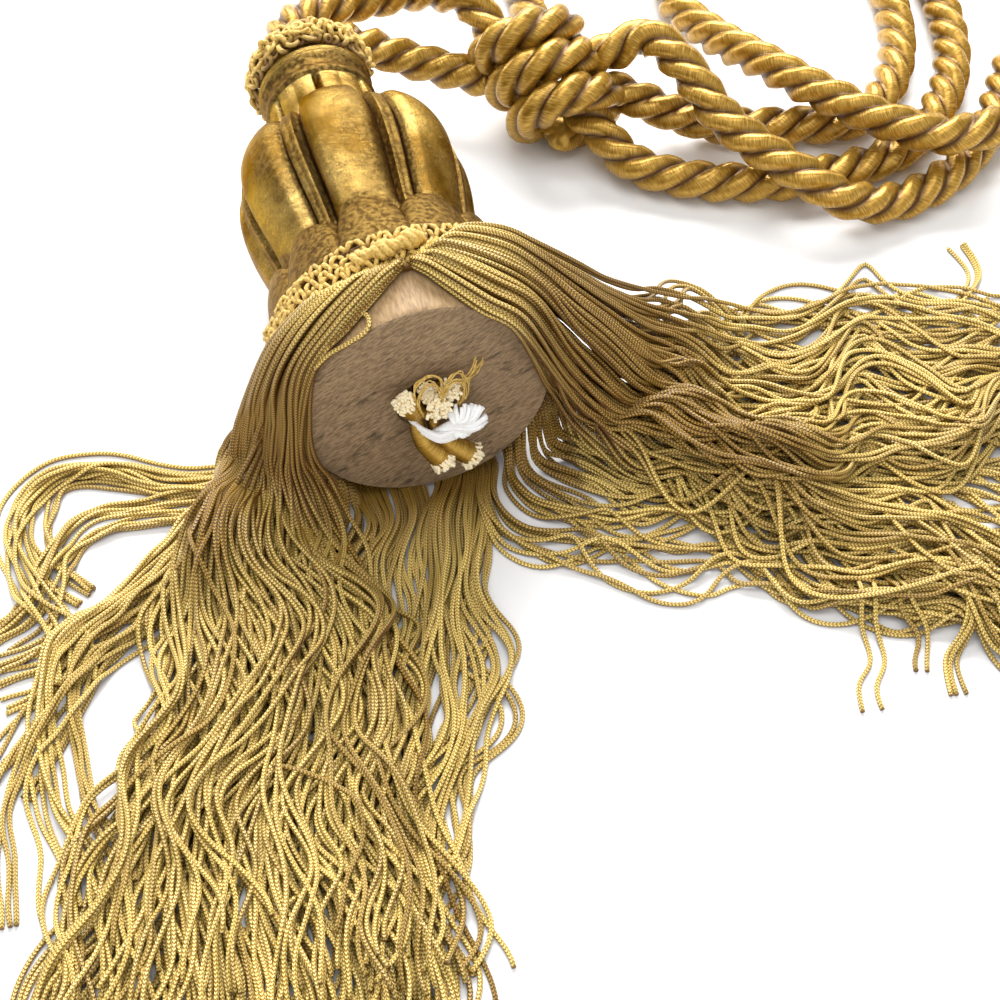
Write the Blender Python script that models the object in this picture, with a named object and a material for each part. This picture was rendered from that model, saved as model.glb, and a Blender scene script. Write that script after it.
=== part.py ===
"""Curtain tieback tassel, laid on its side on a table.

A carved and gilded wooden head lies with its sawn base towards -Y. A fringe header glued round
its drum carries a skirt of knitted strands, parted at the top into a left and a right swath.
Two stretches of three-ply rope leave the collar at the neck, enter a wound knot, and leave it
again as two loops. The six cut plies of the rope are tied off with yarn on the sawn base.
Sizes are in millimetres; MM turns them into Blender's metres.
"""

import math

import bmesh
import bpy
from mathutils import Vector

MM = 0.001
GAP = 0.3                 # air between neighbouring pieces

# Where the head lies: a place on the table, then the middle of the tassel's box
FACE_MIDDLE = Vector((-16.9, 294.0, 31.2))     # middle of the sawn base, over the table's datum
HEAD_TURN = math.radians(106.3)                # which way the neck points, from +X
BOX_MIDDLE = Vector((7.5, 281.7, 0.0))         # the tassel's middle without its rope

# The wooden head
DRUM_RADIUS = 30.0
HEADER_LOW = 12.8         # along the head, from the sawn base
HEADER_TOP = 25.1
NECK_RADIUS = 13.0
HEAD_LENGTH = 128.0
LOBES = 7
FIRST_RIB = -31.4         # degrees round the head from straight up, to the right
PETALS = 11
FIRST_NOTCH = -24.2
UNDER_FULLNESS = 0.06     # the bulb is this much fuller where it lies on the table
COLLAR_LOW = 119.0
COLLAR_TOP = 127.5
COLLAR_RADIUS = 16.6

# The skirt
HEADER_RADIUS = 31.5
STRAND_RADIUS = 0.78
ROOT_RADIUS = 0.7
THIN_RADIUS = 0.5         # where the drum presses on it
UNDER_EDGE = -1.5         # the drum's reach, along the head, and the height of what is under it
UNDER_HEIGHT = 5.0
ROOTS = 76                # in each of the header's two rows

# The rope
ROPE_RADIUS = 5.65
ROPE_PLIES = 3
ROPE_VALLEY = 0.74        # radius between two plies, as a share of the rope's
ROPE_LAY = 27.0           # length of one full turn of a ply
ROPE_STEP = 4.5           # between two rings
ROPE_FINE = 400           # places that the rope's length is measured over
ROPE_LOW = 0.05           # a ply's crest is pressed flat against the table
KNOT_MIDDLE = Vector((13.0, 428.0, 17.9))
KNOT_HALF = Vector((21.4, 17.6, 17.6))
KNOT_WRAPS = 3
KNOT_CLEARANCE = 0.6
PLY_RADIUS = 2.5

ALONG = Vector((math.cos(HEAD_TURN), math.sin(HEAD_TURN), 0))       # from base to neck
ACROSS = Vector((math.sin(HEAD_TURN), -math.cos(HEAD_TURN), 0))     # to the right
UP = Vector((0, 0, 1))


def on_head(along, turn, radius):
    """A place by its distance from the sawn base, its turn from straight up, and its radius."""
    angle = math.radians(turn)
    return FACE_MIDDLE + ALONG * along + radius * (ACROSS * math.sin(angle) + UP * math.cos(angle))


def material(name, colour, roughness, metallic=0.0):
    made = bpy.data.materials.new(name)
    made.use_nodes = True
    shader = made.node_tree.nodes["Principled BSDF"]
    shader.inputs["Base Color"].default_value = (*colour, 1)
    shader.inputs["Roughness"].default_value = roughness
    shader.inputs["Metallic"].default_value = metallic
    return made


GILT = ("gilded_wood", (0.42, 0.27, 0.08), 0.42, 0.6)
SILK = ("gold_silk", (0.53, 0.34, 0.08), 0.45)
BRAID = ("gold_braid", (0.55, 0.38, 0.12), 0.6)
ROPE = ("rope_satin", (0.58, 0.36, 0.1), 0.4)
CUT = ("cut_cotton", (0.78, 0.62, 0.36), 0.8)
WHITE = ("white_yarn", (0.85, 0.85, 0.83), 0.8)


def place(name, bm, finish):
    """Put a mesh built in table millimetres into the scene, round the tassel's middle."""
    for vert in bm.verts:
        vert.co = (vert.co - BOX_MIDDLE) * MM
    bmesh.ops.recalc_face_normals(bm, faces=bm.faces)
    mesh = bpy.data.meshes.new(name)
    bm.to_mesh(mesh)
    bm.free()
    mesh.shade_smooth()
    mesh.set_sharp_from_angle(angle=math.radians(50))
    made = bpy.data.objects.new(name, mesh)
    made.data.materials.append(material(*finish))
    bpy.context.scene.collection.objects.link(made)
    return made


def bridge(bm, lower, upper):
    """Side faces between two rings of the same count."""
    count = len(lower)
    for k in range(count):
        after = (k + 1) % count
        bm.faces.new((lower[k], lower[after], upper[after], upper[k]))


def loft(rings, hoop=False):
    """A closed solid through rings of points: capped at both ends, or joined end to start."""
    bm = bmesh.new()
    made = [[bm.verts.new(point) for point in ring] for ring in rings]
    for lower, upper in zip(made, made[1:]):
        bridge(bm, lower, upper)
    if hoop:
        bridge(bm, made[-1], made[0])
    else:
        bm.faces.new(reversed(made[0]))
        bm.faces.new(made[-1])
    return bm


# --- The carved head -----------------------------------------------------------------------------

# One seventh of the way round: degrees past a rib, depth (0 crest .. 1 groove), share of the rib
LOBE_SECTION = (
    (0.0, 1.0, 1.0),
    (3.6, 1.0, 0.8),
    (6.0, 1.0, 0.0),
    (11.0, 0.45, 0.0),
    (17.0, 0.1, 0.0),
    (22.5, 0.0, 0.0),
    (28.9, 0.0, 0.0),
    (34.4, 0.1, 0.0),
    (40.4, 0.45, 0.0),
    (45.4, 1.0, 0.0),
    (47.8, 1.0, 0.8),
)

# One petal: degrees past the notch before it, depth (0 top .. 1 notch)
PETAL_SECTION = (
    (0.0, 1.0),
    (2.5, 0.47),
    (6.0, 0.23),
    (12.0, 0.04),
    (20.7, 0.04),
    (26.7, 0.23),
    (30.2, 0.47),
)
COLUMNS = LOBES * len(LOBE_SECTION)
NOTCH_COLUMN = 2          # the column that starts at the first notch
PETAL_ROWS = 8            # rows of the profile from the base to behind the petals

# Along the head: at a crest, at a groove; radius at a crest, at a groove; height of the rib
HEAD_PROFILE = (
    (0.0, 0.0, 29.3, 29.3, 0.0),
    (0.7, 0.7, 30.0, 30.0, 0.0),
    (25.4, 25.4, 30.0, 30.0, 0.0),
    (25.7, 25.7, 32.0, 31.4, 0.0),
    (29.0, 28.0, 31.5, 30.6, 0.0),
    (36.0, 32.0, 30.4, 28.8, 0.0),
    (41.0, 35.0, 28.9, 27.0, 0.0),
    (41.8, 35.8, 25.2, 24.2, 0.0),
    (46.0, 43.5, 25.9, 22.8, 1.2),
    (51.0, 50.0, 26.7, 23.4, 1.6),
    (58.0, 58.0, 28.2, 24.8, 1.8),
    (66.0, 66.0, 29.5, 26.1, 1.9),
    (74.0, 74.0, 29.8, 26.4, 1.9),
    (81.0, 80.5, 28.6, 25.2, 1.8),
    (86.0, 85.0, 26.0, 22.4, 1.5),
    (89.4, 88.2, 21.2, 18.4, 1.0),
    (91.2, 91.2, 15.0, 15.4, 0.0),
    (94.0, 94.0, 12.6, 14.0, 0.0),
    (101.0, 101.0, 12.9, 14.6, 0.0),
    (106.5, 106.5, 12.9, 14.3, 0.0),
    (108.0, 108.0, 15.2, 15.2, 0.0),
    (111.5, 111.5, 14.2, 14.2, 0.0),
    (113.0, 113.0, 14.9, 14.9, 0.0),
    (116.5, 116.5, 15.3, 15.3, 0.0),
    (118.2, 118.2, 14.4, 14.4, 0.0),
    (118.6, 118.6, NECK_RADIUS, NECK_RADIUS, 0.0),
    (HEAD_LENGTH, HEAD_LENGTH, NECK_RADIUS, NECK_RADIUS, 0.0),
)


def fuller_below(turn):
    """How much fuller the bulb is at a turn from straight up: none on top and at the sides."""
    below = min(max((-math.cos(math.radians(turn)) - 0.2) / 0.6, 0), 1)
    return 1 + UNDER_FULLNESS * below * below * (3 - 2 * below)


def head_ring(level, row):
    crest_along, groove_along, crest, groove, rib = row
    on_bulb = PETAL_ROWS <= level < PETAL_ROWS + 9
    ring = []
    for column in range(COLUMNS):
        if level < PETAL_ROWS:
            petal, spot = divmod(column - NOTCH_COLUMN, len(PETAL_SECTION))
            offset, depth = PETAL_SECTION[spot]
            turn = FIRST_NOTCH + petal * 360 / PETALS + offset
            share = 0.0
        else:
            lobe, spot = divmod(column, len(LOBE_SECTION))
            offset, depth, share = LOBE_SECTION[spot]
            turn = FIRST_RIB + lobe * 360 / LOBES + offset
        along = crest_along + (groove_along - crest_along) * depth
        radius = crest + (groove - crest) * depth + rib * share
        if on_bulb:
            radius = radius * fuller_below(turn)
        ring.append(on_head(along, turn, radius))
    return ring


def wood_head():
    """The turned and carved head, flat where its lobes and petals lie on the table."""
    bm = loft([head_ring(level, row) for level, row in enumerate(HEAD_PROFILE)])
    for vert in bm.verts:
        vert.co.z = max(vert.co.z, 0)
    place("wood_head", bm, GILT)


def neck_collar():
    """The looped braid round the neck, as a bumpy ring."""
    section = ((0, 0), (0.1, 0.75), (0.3, 1), (0.5, 0.8), (0.72, 1), (0.92, 0.7), (1, 0))
    steps = 32
    rings = []
    for k in range(steps):
        bump = 0.5 if k % 2 else -0.5
        ring = []
        for share, height in section:
            along = COLLAR_LOW + (COLLAR_TOP - COLLAR_LOW) * share
            rise = (COLLAR_RADIUS - NECK_RADIUS - GAP) * height + bump * (height > 0.5)
            ring.append(on_head(along, k * 360 / steps, NECK_RADIUS + GAP + rise))
        rings.append(ring)
    place("neck_collar", loft(rings, hoop=True), BRAID)


# --- The skirt -----------------------------------------------------------------------------------

# Each fan of strands is spread between its guides, the first of them next to the parting. A guide
# has three places round the drum, as (along the head, turn from straight up, radius), and then
# six on the table, as (x, y, height)
OUTER_LEFT = (
    (((9, -16, 34.6), (4, -36, 35.2), (-2, -60, 36)),
     ((-43, 276, 28), (-42, 265, 11), (-39, 246, 5.2), (-32, 220, 5.2), (-25, 189, 5.2), (-22, 157, 5.2))),
    (((9, -57, 35), (5, -71, 36), (1, -84, 37.5)),
     ((-57, 279, 18), (-59, 264, 6), (-60, 238, 5.2), (-59, 206, 5.2), (-57, 173, 5.2), (-54, 142, 5.2))),
    (((10, -92, 35.5), (8, -102, 38.5), (6, -112, 45)),
     ((-67, 288, 8), (-75, 276, 5.2), (-83, 254, 5.2), (-90, 230, 5.2), (-95, 204, 5.2), (-98, 176, 5.2))),
)
INNER_LEFT = (
    (((9, -14, 32.4), (4, -32, 32.6), (-2, -51, 33)),
     ((-40, 275, 24), (-37, 262, 6.5), (-34, 244, 3.2), (-27, 218, 3.2), (-19, 187, 3.2), (-13, 156, 3.2))),
    (((9, -56, 32.6), (5, -69, 33), (1, -82, 34)),
     ((-51, 281, 17), (-54, 265, 4.2), (-56, 240, 3.2), (-60, 208, 3.2), (-63, 176, 3.2), (-66, 146, 3.2))),
    (((10, -93, 32.6), (8.5, -103, 34.8), (7, -115, 40)),
     ((-62, 290, 5), (-73, 282, 3.2), (-86, 266, 3.2), (-98, 246, 3.2), (-108, 222, 3.2), (-114, 196, 3.2))),
)
LOW_LEFT = (
    (((8, -96, 32.4), (4, -106, 33.5), (0, -118, 36)),
     ((-53, 293, 4), (-69, 296, 1.1), (-86, 296, 1.1), (-103, 290, 1.1), (-115, 276, 1.1), (-121, 256, 1.1))),
    (((8, -137, 31.6), (4, -139, 31.8), (0, -141, 32)),
     ((-39, 278, 1.1), (-45, 268, 1.1), (-56, 248, 1.1), (-67, 224, 1.1), (-77, 198, 1.1), (-85, 172, 1.1))),
    (((8, -177, 30.9), (4, -177, 30.9), (0, -177, 30.9)),
     ((-16.5, 284, 1.1), (-18, 270, 1.1), (-20, 250, 1.1), (-23, 222, 1.1), (-27, 192, 1.1), (-31, 160, 1.1))),
)
LOW_MIDDLE = (
    (((8, 159, 30.9), (4, 159, 30.9), (0, 159, 30.9)),
     ((-5, 283, 1.1), (-3, 270, 1.1), (0, 250, 1.1), (2, 226, 1.1), (1, 200, 1.1), (-4, 172, 1.1))),
    (((8, 177, 30.9), (4, 177, 30.9), (0, 177, 30.9)),
     ((-14, 284, 1.1), (-13, 270, 1.1), (-12, 250, 1.1), (-12, 222, 1.1), (-14, 192, 1.1), (-18, 160, 1.1))),
)
LOW_RIGHT = (
    (((8, 95, 32.4), (5, 101, 34), (2, 109, 37)),
     ((22, 303, 6), (36, 302, 1.1), (54, 298, 1.1), (74, 293, 1.1), (95, 285, 1.1), (113, 271, 1.1))),
    (((8, 125, 31.8), (4, 126, 31.8), (0, 127, 32)),
     ((12, 292, 4), (20, 286, 1.1), (36, 280, 1.1), (55, 274, 1.1), (76, 268, 1.1), (96, 256, 1.1))),
    (((8, 154, 31), (4, 154, 31), (0, 154, 31.2)),
     ((0, 286, 1.1), (8, 276, 1.1), (22, 266, 1.1), (40, 260, 1.1), (60, 255, 1.1), (78, 242, 1.1))),
)
INNER_RIGHT = (
    (((8, 14, 32.4), (1, 31, 32.6), (-6, 52, 33)),
     ((17, 291, 31), (27, 287, 13), (44, 280, 4), (65, 274, 3.2), (86, 270, 3.2), (106, 266, 3.2))),
    (((10, 57, 32.6), (7, 70, 34), (4, 83, 37)),
     ((27, 308, 22), (40, 310, 10), (58, 310, 3.6), (82, 305, 3.2), (107, 298, 3.2), (131, 292, 3.2))),
    (((12, 91, 33), (14, 93, 36), (16, 95, 41)),
     ((27, 328, 18), (40, 334, 8), (58, 338, 3.2), (80, 338, 3.2), (102, 336, 3.2), (124, 336, 3.2))),
)
OUTER_RIGHT = (
    (((8, 16, 34.6), (1, 34, 35), (-6, 56, 36)),
     ((22, 292, 34), (32, 288, 16), (48, 282, 6), (68, 276, 5.2), (88, 268, 5.2), (104, 254, 5.2))),
    (((10, 56, 35), (7, 68, 37), (4, 80, 41)),
     ((32, 312, 26), (46, 314, 14), (64, 313, 6.5), (87, 309, 5.2), (112, 305, 5.2), (137, 302, 5.2))),
    (((14, 86, 35.5), (18, 85, 39.5), (21, 84, 45)),
     ((32, 336, 28), (46, 343, 16), (64, 347, 7), (84, 350, 5.2), (104, 354, 5.2), (120, 366, 5.2))),
)

# Each fan: its row of roots, its side, its first and last root from the parting, its guides and
# how many strands it has
FANS = (
    ("outside", -1, 0, 17, OUTER_LEFT, 13),
    ("outside", 1, 0, 17, OUTER_RIGHT, 14),
    ("front", -1, 0, 18, INNER_LEFT, 14),
    ("front", 1, 0, 18, INNER_RIGHT, 15),
    ("front", -1, 20, 37, LOW_LEFT, 18),
    ("front", 1, 20, 32, LOW_RIGHT, 13),
    ("front", 1, 33, 37, LOW_MIDDLE, 5),
)


def between(before, first, second, after, share):
    """A Catmull-Rom curve's place between its two middle points."""
    square, cube = share * share, share * share * share
    return 0.5 * (
        2 * first
        + (second - before) * share
        + (2 * before - 5 * first + 4 * second - after) * square
        + (3 * first - before - 3 * second + after) * cube
    )


def along_list(values, share):
    """The smooth value at a share from 0 to 1 of a list of numbers or places."""
    spot = share * (len(values) - 1)
    low = min(int(spot), len(values) - 2)
    before = values[max(low - 1, 0)]
    after = values[min(low + 2, len(values) - 1)]
    return between(before, values[low], values[low + 1], after, spot - low)


def across_fan(rows, share):
    """The place a share of the way across a fan, from the places that its guides have there."""
    spot = share * (len(rows) - 1)
    low = min(int(spot), len(rows) - 2)
    return Vector(rows[low]).lerp(Vector(rows[low + 1]), spot - low)


def strand_route(fan, share):
    """The places of one strand that lies a share of the way across its fan."""
    wrapped = [across_fan(rows, share) for rows in zip(*[guide[0] for guide in fan])]
    laid = [across_fan(rows, share) for rows in zip(*[guide[1] for guide in fan])]
    for step, place in enumerate(laid[1:]):
        place.x += 1.1 * math.sin(1.9 * step + 9 * share)
        place.y += 0.9 * math.cos(2.3 * step + 7 * share)
    return [on_head(*place) for place in wrapped] + laid


def pressed(place):
    """Whether a place is in the narrow space under the drum."""
    return (place - FACE_MIDDLE).dot(ALONG) > UNDER_EDGE and place.z < UNDER_HEIGHT


def triangle_ring(place, heading, radius):
    """Three points round a strand, one side level underneath."""
    side = heading.cross(UP)
    if side.length < 0.2:
        side = ACROSS.copy()
    side.normalize()
    top = side.cross(heading).normalized()
    ring = []
    for turn in (0, math.tau / 3, 2 * math.tau / 3):
        ring.append(place + radius * (side * math.sin(turn) + top * math.cos(turn)))
    return ring


def strand_rings(root, route):
    """One strand's rings, from just outside its root to its tip."""
    places = [root] + route
    rings = []
    for k, spot in enumerate(places):
        heading = places[min(k + 1, len(places) - 1)] - places[max(k - 1, 0)]
        radius = THIN_RADIUS if pressed(spot) else STRAND_RADIUS
        if k == 0:
            radius = min(radius, ROOT_RADIUS)
        rings.append(triangle_ring(spot, heading.normalized(), radius))
    return rings


def strands():
    """Each strand's row, its place round the header, and its rings."""
    for row, side, first, last, fan, count in FANS:
        for k in range(count):
            root = first + round((last - first) * k / (count - 1))
            turn = side * (root + 0.5) * 360 / ROOTS
            if row == "outside":
                start = on_head(HEADER_LOW + 0.6, turn, HEADER_RADIUS + 1.9)
            else:
                start = on_head(HEADER_LOW - 2.2, turn, HEADER_RADIUS - 0.2)
            start.z = max(start.z, THIN_RADIUS / 2 + 0.1)
            segment = root if side > 0 else ROOTS - 1 - root
            yield row, segment, strand_rings(start, strand_route(fan, k / (count - 1)))


def fringe():
    """The header, flat where it rests, with every strand grown out of a face of its own."""
    section = (
        (HEADER_LOW, DRUM_RADIUS + GAP),
        (HEADER_LOW, HEADER_RADIUS),
        (HEADER_LOW + 2.6, HEADER_RADIUS),
        (HEADER_TOP, HEADER_RADIUS),
        (HEADER_TOP, DRUM_RADIUS + GAP),
    )
    rings = [
        [on_head(along, k * 360 / ROOTS, radius) for along, radius in section] for k in range(ROOTS)
    ]
    bm = loft(rings, hoop=True)
    bm.faces.ensure_lookup_table()
    sides = len(section)
    roots = {("front", k): bm.faces[k * sides] for k in range(ROOTS)}
    roots.update({("outside", k): bm.faces[k * sides + 1] for k in range(ROOTS)})
    used = []
    for row, segment, rings in list(strands()):
        face = roots[row, segment]
        made = [[bm.verts.new(point) for point in ring] for ring in rings]
        for lower, upper in zip(made, made[1:]):
            bridge(bm, lower, upper)
        bm.faces.new(made[-1])
        rim = [bm.edges.get((made[0][k], made[0][(k + 1) % 3])) for k in range(3)]
        bmesh.ops.bridge_loops(bm, edges=list(face.edges) + rim)
        used.append(face)
    bmesh.ops.delete(bm, geom=used, context="FACES_ONLY")
    for vert in bm.verts:
        vert.co.z = max(vert.co.z, 0)
    place("fringe", bm, SILK)


# --- The rope ------------------------------------------------------------------------------------

# Where each end enters the knot, as the way that it faces
KNOT_ENDS = {
    "neck_left": (-0.6, 0.65, 0.45),
    "neck_right": (-0.9, 0.35, -0.2),
    "inner_first": (0.8, 0.1, 0.55),
    "inner_last": (0.55, -0.75, -0.35),
    "outer_first": (-0.05, 0.95, -0.3),
    "outer_last": (0.95, -0.15, -0.2),
}
NECK_LEFT = ((-59, 417.5, 31), (-60.5, 428, 30.5), (-57.5, 439, 29), (-50, 448, 27), (-39, 454, 25),
             (-24, 455, 27.5), (-10, 447.5, 30.5))
NECK_RIGHT = ((-47.5, 420.3, 31), (-48, 429, 29), (-43, 436, 24.5), (-34, 439.5, 19), (-24, 439, 15.5))
LOOP_INNER = ((41.5, 429, 31.5), (51, 420, 28), (60, 407.5, 22), (70, 398.5, 18.6), (81, 390.5, 16),
              (94, 386.5, 10.5), (109, 391, 6), (124, 401, 6), (136, 417, 6), (144, 434, 6),
              (151, 452, 6), (166, 470, 6), (185, 488, 6), (197, 511, 6), (196, 537, 6), (182, 557, 6),
              (159, 563, 6), (139, 553, 6), (130, 531, 6), (130, 506, 6), (133, 481, 6), (133, 454, 6),
              (126, 431, 6), (111, 411, 6), (86, 400.5, 6), (61, 398.5, 6), (43, 402, 6.5), (34, 407, 8))
LOOP_OUTER = ((11, 458, 8.5), (8, 479, 6), (4, 503, 6), (12, 527, 6), (33, 536, 6), (51, 521, 6),
              (51, 498, 6.5), (53, 476, 8), (62, 456, 12), (75, 437, 17), (90, 421, 18.6),
              (105, 410, 18.6), (120, 403.5, 18.6), (135, 407, 18.6), (149, 419, 16), (163, 434, 10.5),
              (180, 455, 6), (201, 482, 6), (214, 513, 6), (213, 546, 6), (195, 573, 6), (164, 583, 6),
              (134, 575, 6), (115, 551, 6), (111, 521, 6), (117, 491, 6), (118, 462, 6), (112, 439, 6),
              (100, 425, 6), (82, 422.5, 6), (64, 422.5, 6), (48, 423.5, 10))


def knot_seat(name):
    """Where a rope squarely meets the knot's side."""
    facing = Vector(KNOT_ENDS[name]).normalized()
    spread = Vector([half * half * part for half, part in zip(KNOT_HALF, facing)])
    return KNOT_MIDDLE + spread / math.sqrt(spread.dot(facing)) + facing * KNOT_CLEARANCE


ROUTES = {
    "rope_neck_left": (*NECK_LEFT, knot_seat("neck_left")),
    "rope_neck_right": (*NECK_RIGHT, knot_seat("neck_right")),
    "rope_loop_inner": (knot_seat("inner_first"), *LOOP_INNER, knot_seat("inner_last")),
    "rope_loop_outer": (knot_seat("outer_first"), *LOOP_OUTER, knot_seat("outer_last")),
}


def rope(name, places):
    """A three-ply rope with its twist: a curve whose lobed outline turns as it goes."""
    route = [Vector(place) for place in places]
    fine = [along_list(route, k / ROPE_FINE) for k in range(ROPE_FINE + 1)]
    lengths = [0.0]
    for first, second in zip(fine, fine[1:]):
        lengths.append(lengths[-1] + (second - first).length)
    count = round(lengths[-1] / ROPE_STEP)
    rings = []
    spot = 0
    for k in range(count + 1):
        reach = lengths[-1] * k / count
        while spot < ROPE_FINE - 1 and lengths[spot + 1] < reach:
            spot += 1
        share = (reach - lengths[spot]) / (lengths[spot + 1] - lengths[spot])
        middle = fine[spot].lerp(fine[spot + 1], share)
        heading = (fine[min(spot + 2, ROPE_FINE)] - fine[max(spot - 1, 0)]).normalized()
        side = heading.cross(UP).normalized()
        top = side.cross(heading)
        twist = reach / ROPE_LAY * 2 * math.pi
        ring = []
        for point in range(2 * ROPE_PLIES):
            angle = twist + point * math.pi / ROPE_PLIES
            radius = ROPE_RADIUS if point % 2 == 0 else ROPE_RADIUS * ROPE_VALLEY
            ring.append(middle + radius * (side * math.cos(angle) + top * math.sin(angle)))
        rings.append(ring)
    bm = loft(rings)
    for vert in bm.verts:
        vert.co.z = max(vert.co.z, ROPE_LOW)
    place(name, bm, ROPE)


def rope_knot():
    """The wound knot: three wraps side by side, each crossed by its plies."""
    around = 26
    axis = Vector((0.93, 0.25, -0.27)).normalized()
    side = axis.cross(UP).normalized()
    top = side.cross(axis)
    rings = []
    rows = 4 * KNOT_WRAPS + 1
    for row in range(rows):
        share = -0.95 + 1.9 * row / (rows - 1)
        girth = math.sqrt(1 - share * share)
        wrap = abs(math.sin(math.pi * KNOT_WRAPS * row / (rows - 1)))
        ring = []
        for point in range(around):
            ridge = 1.0 if (point + row) % 2 == 0 else 0.94
            angle = 2 * math.pi * point / around
            bulk = girth * (0.86 + 0.14 * wrap) * ridge
            ball = axis * share + (side * math.cos(angle) + top * math.sin(angle)) * bulk
            ring.append(KNOT_MIDDLE + Vector([half * part for half, part in zip(KNOT_HALF, ball)]))
        rings.append(ring)
    bm = loft(rings)
    for vert in bm.verts:
        vert.co.z = max(vert.co.z, GAP)
    place("rope_knot", bm, ROPE)


# --- The tied-off plies on the sawn base ---------------------------------------------------------

# Each ply: how far right and up of the base's middle it starts and ends, and how far it stands out
PLY_ENDS = (
    ("ply_end_1", (-5.4, 5.6), (-9.2, 13.0), 4.5, CUT),
    ("ply_end_2", (-1.2, 9.9), (-1.8, 15.2), 3.4, CUT),
    ("ply_end_3", (1.2, 4.4), (1.6, 9.2), 9.2, CUT),
    ("ply_end_4", (5.0, 8.6), (7.2, 13.2), 3.6, CUT),
    ("ply_end_5", (-4.4, -1.0), (0.6, -16.0), 4.6, ROPE),
    ("ply_end_6", (2.1, -3.0), (8.8, -15.5), 4.6, ROPE),
)


def ply_end(name, start, finish, stand_out, finish_colour):
    """A cut ply that comes out of the base and leans over."""
    begin = FACE_MIDDLE + ACROSS * start[0] + UP * start[1] - ALONG * GAP
    end = FACE_MIDDLE + ACROSS * finish[0] + UP * finish[1] - ALONG * (stand_out + GAP)
    side = (end - begin).cross(ALONG).normalized()
    steps = 5
    path = [
        begin.lerp(end, k / steps) - ALONG * (0.28 * stand_out * math.sin(math.pi * k / steps))
        for k in range(steps + 1)
    ]
    rings = []
    for step, level in enumerate(path):
        heading = (path[min(step + 1, steps)] - path[max(step - 1, 0)]).normalized()
        heading = (heading - ALONG * 3 * (1 - step / steps) ** 3).normalized()
        top = side.cross(heading)
        ring = [
            level + PLY_RADIUS * (side * math.cos(k * math.pi / 4) + top * math.sin(k * math.pi / 4))
            for k in range(8)
        ]
        rings.append(ring)
    bm = loft(rings)
    for vert in bm.verts:
        vert.co -= ALONG * max((vert.co - FACE_MIDDLE).dot(ALONG) + GAP, 0)
    place(name, bm, finish_colour)


def yarn_tie():
    """The knotted white yarn beside the plies."""
    middle = FACE_MIDDLE + ACROSS * 9.0 + UP * 1.0 - ALONG * 4.2
    bm = bmesh.new()
    bmesh.ops.create_icosphere(bm, subdivisions=2, radius=1)
    for vert in bm.verts:
        knobbly = 1 + 0.1 * math.sin(9 * vert.co.x) * math.cos(8 * vert.co.y)
        spot = vert.co * knobbly
        vert.co = middle + ACROSS * spot.x * 3.9 + UP * spot.y * 5.0 - ALONG * spot.z * 3.4
    place("yarn_tie", bm, WHITE)


def main():
    for thing in list(bpy.data.objects):
        bpy.data.objects.remove(thing, do_unlink=True)
    wood_head()
    neck_collar()
    fringe()
    for name, places in ROUTES.items():
        rope(name, places)
    rope_knot()
    for row in PLY_ENDS:
        ply_end(*row)
    yarn_tie()


main()
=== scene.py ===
"""A curtain tieback tassel on a table: gilded carved head, chainette skirt and a knotted three-ply rope.

Places are in millimetres on the table, x to the right and y away from the viewer. at() turns them into the
frame's metres.
"""

import math

import bpy
import numpy as np
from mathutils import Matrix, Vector


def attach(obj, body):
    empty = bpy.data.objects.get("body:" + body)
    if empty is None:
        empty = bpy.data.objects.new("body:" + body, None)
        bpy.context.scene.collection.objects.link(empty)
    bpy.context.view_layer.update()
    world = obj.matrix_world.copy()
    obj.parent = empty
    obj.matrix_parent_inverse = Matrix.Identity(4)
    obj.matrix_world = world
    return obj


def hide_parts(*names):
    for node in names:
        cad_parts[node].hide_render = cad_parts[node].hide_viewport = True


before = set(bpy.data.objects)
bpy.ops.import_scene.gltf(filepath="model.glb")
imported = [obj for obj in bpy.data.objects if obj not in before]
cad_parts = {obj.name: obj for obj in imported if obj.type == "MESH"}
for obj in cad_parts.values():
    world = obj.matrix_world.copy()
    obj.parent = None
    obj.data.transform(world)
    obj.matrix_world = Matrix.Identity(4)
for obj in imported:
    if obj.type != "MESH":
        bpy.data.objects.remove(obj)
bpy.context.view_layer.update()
bpy.ops.object.select_all(action="DESELECT")

# --- The viewpoint -------------------------------------------------------------------------------
# The viewer stands over the table's near side and looks down on the tassel at 51 degrees.

MM = 0.001
TASSEL_MIDDLE = np.array((7.5, 281.7, 0.0))
EYE_HEIGHT = 358.5
LOOKING_DOWN = math.radians(51)
LENS = 68.4
LENS_FRAME = 36


def at(places):
    """Places in table millimetres, as metres in the frame."""
    return (np.asarray(places, dtype=float) - TASSEL_MIDDLE) * MM


bpy.ops.object.camera_add(location=at((0, 0, EYE_HEIGHT)), rotation=(math.pi / 2 - LOOKING_DOWN, 0, 0))
viewpoint = bpy.context.object
viewpoint.data.lens = LENS
viewpoint.data.sensor_width = LENS_FRAME
bpy.context.scene.camera = viewpoint

# --- The rope ------------------------------------------------------------------------------------
# Furnishing rope of three fat plies laid up together, each a cotton core under a satin of gold threads that
# cross it. Two stretches come out of the head's neck into the knot and leave it as the inner and outer loop.

ROPE_THICK = 11.3
ROPE_LAY = 27.0
PLY_THICK = 6.3
PLY_OFFSET = (ROPE_THICK - PLY_THICK) / 2
PLY_SHIFT = 7.3           # how far the threads' pattern is moved from one ply to the next
PLY_POINTS = 12
THREAD_SLANT = -4.9
ROPE_STEP = 0.9
TABLE_GAP = 0.05
ROPE_REST = 6

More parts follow.
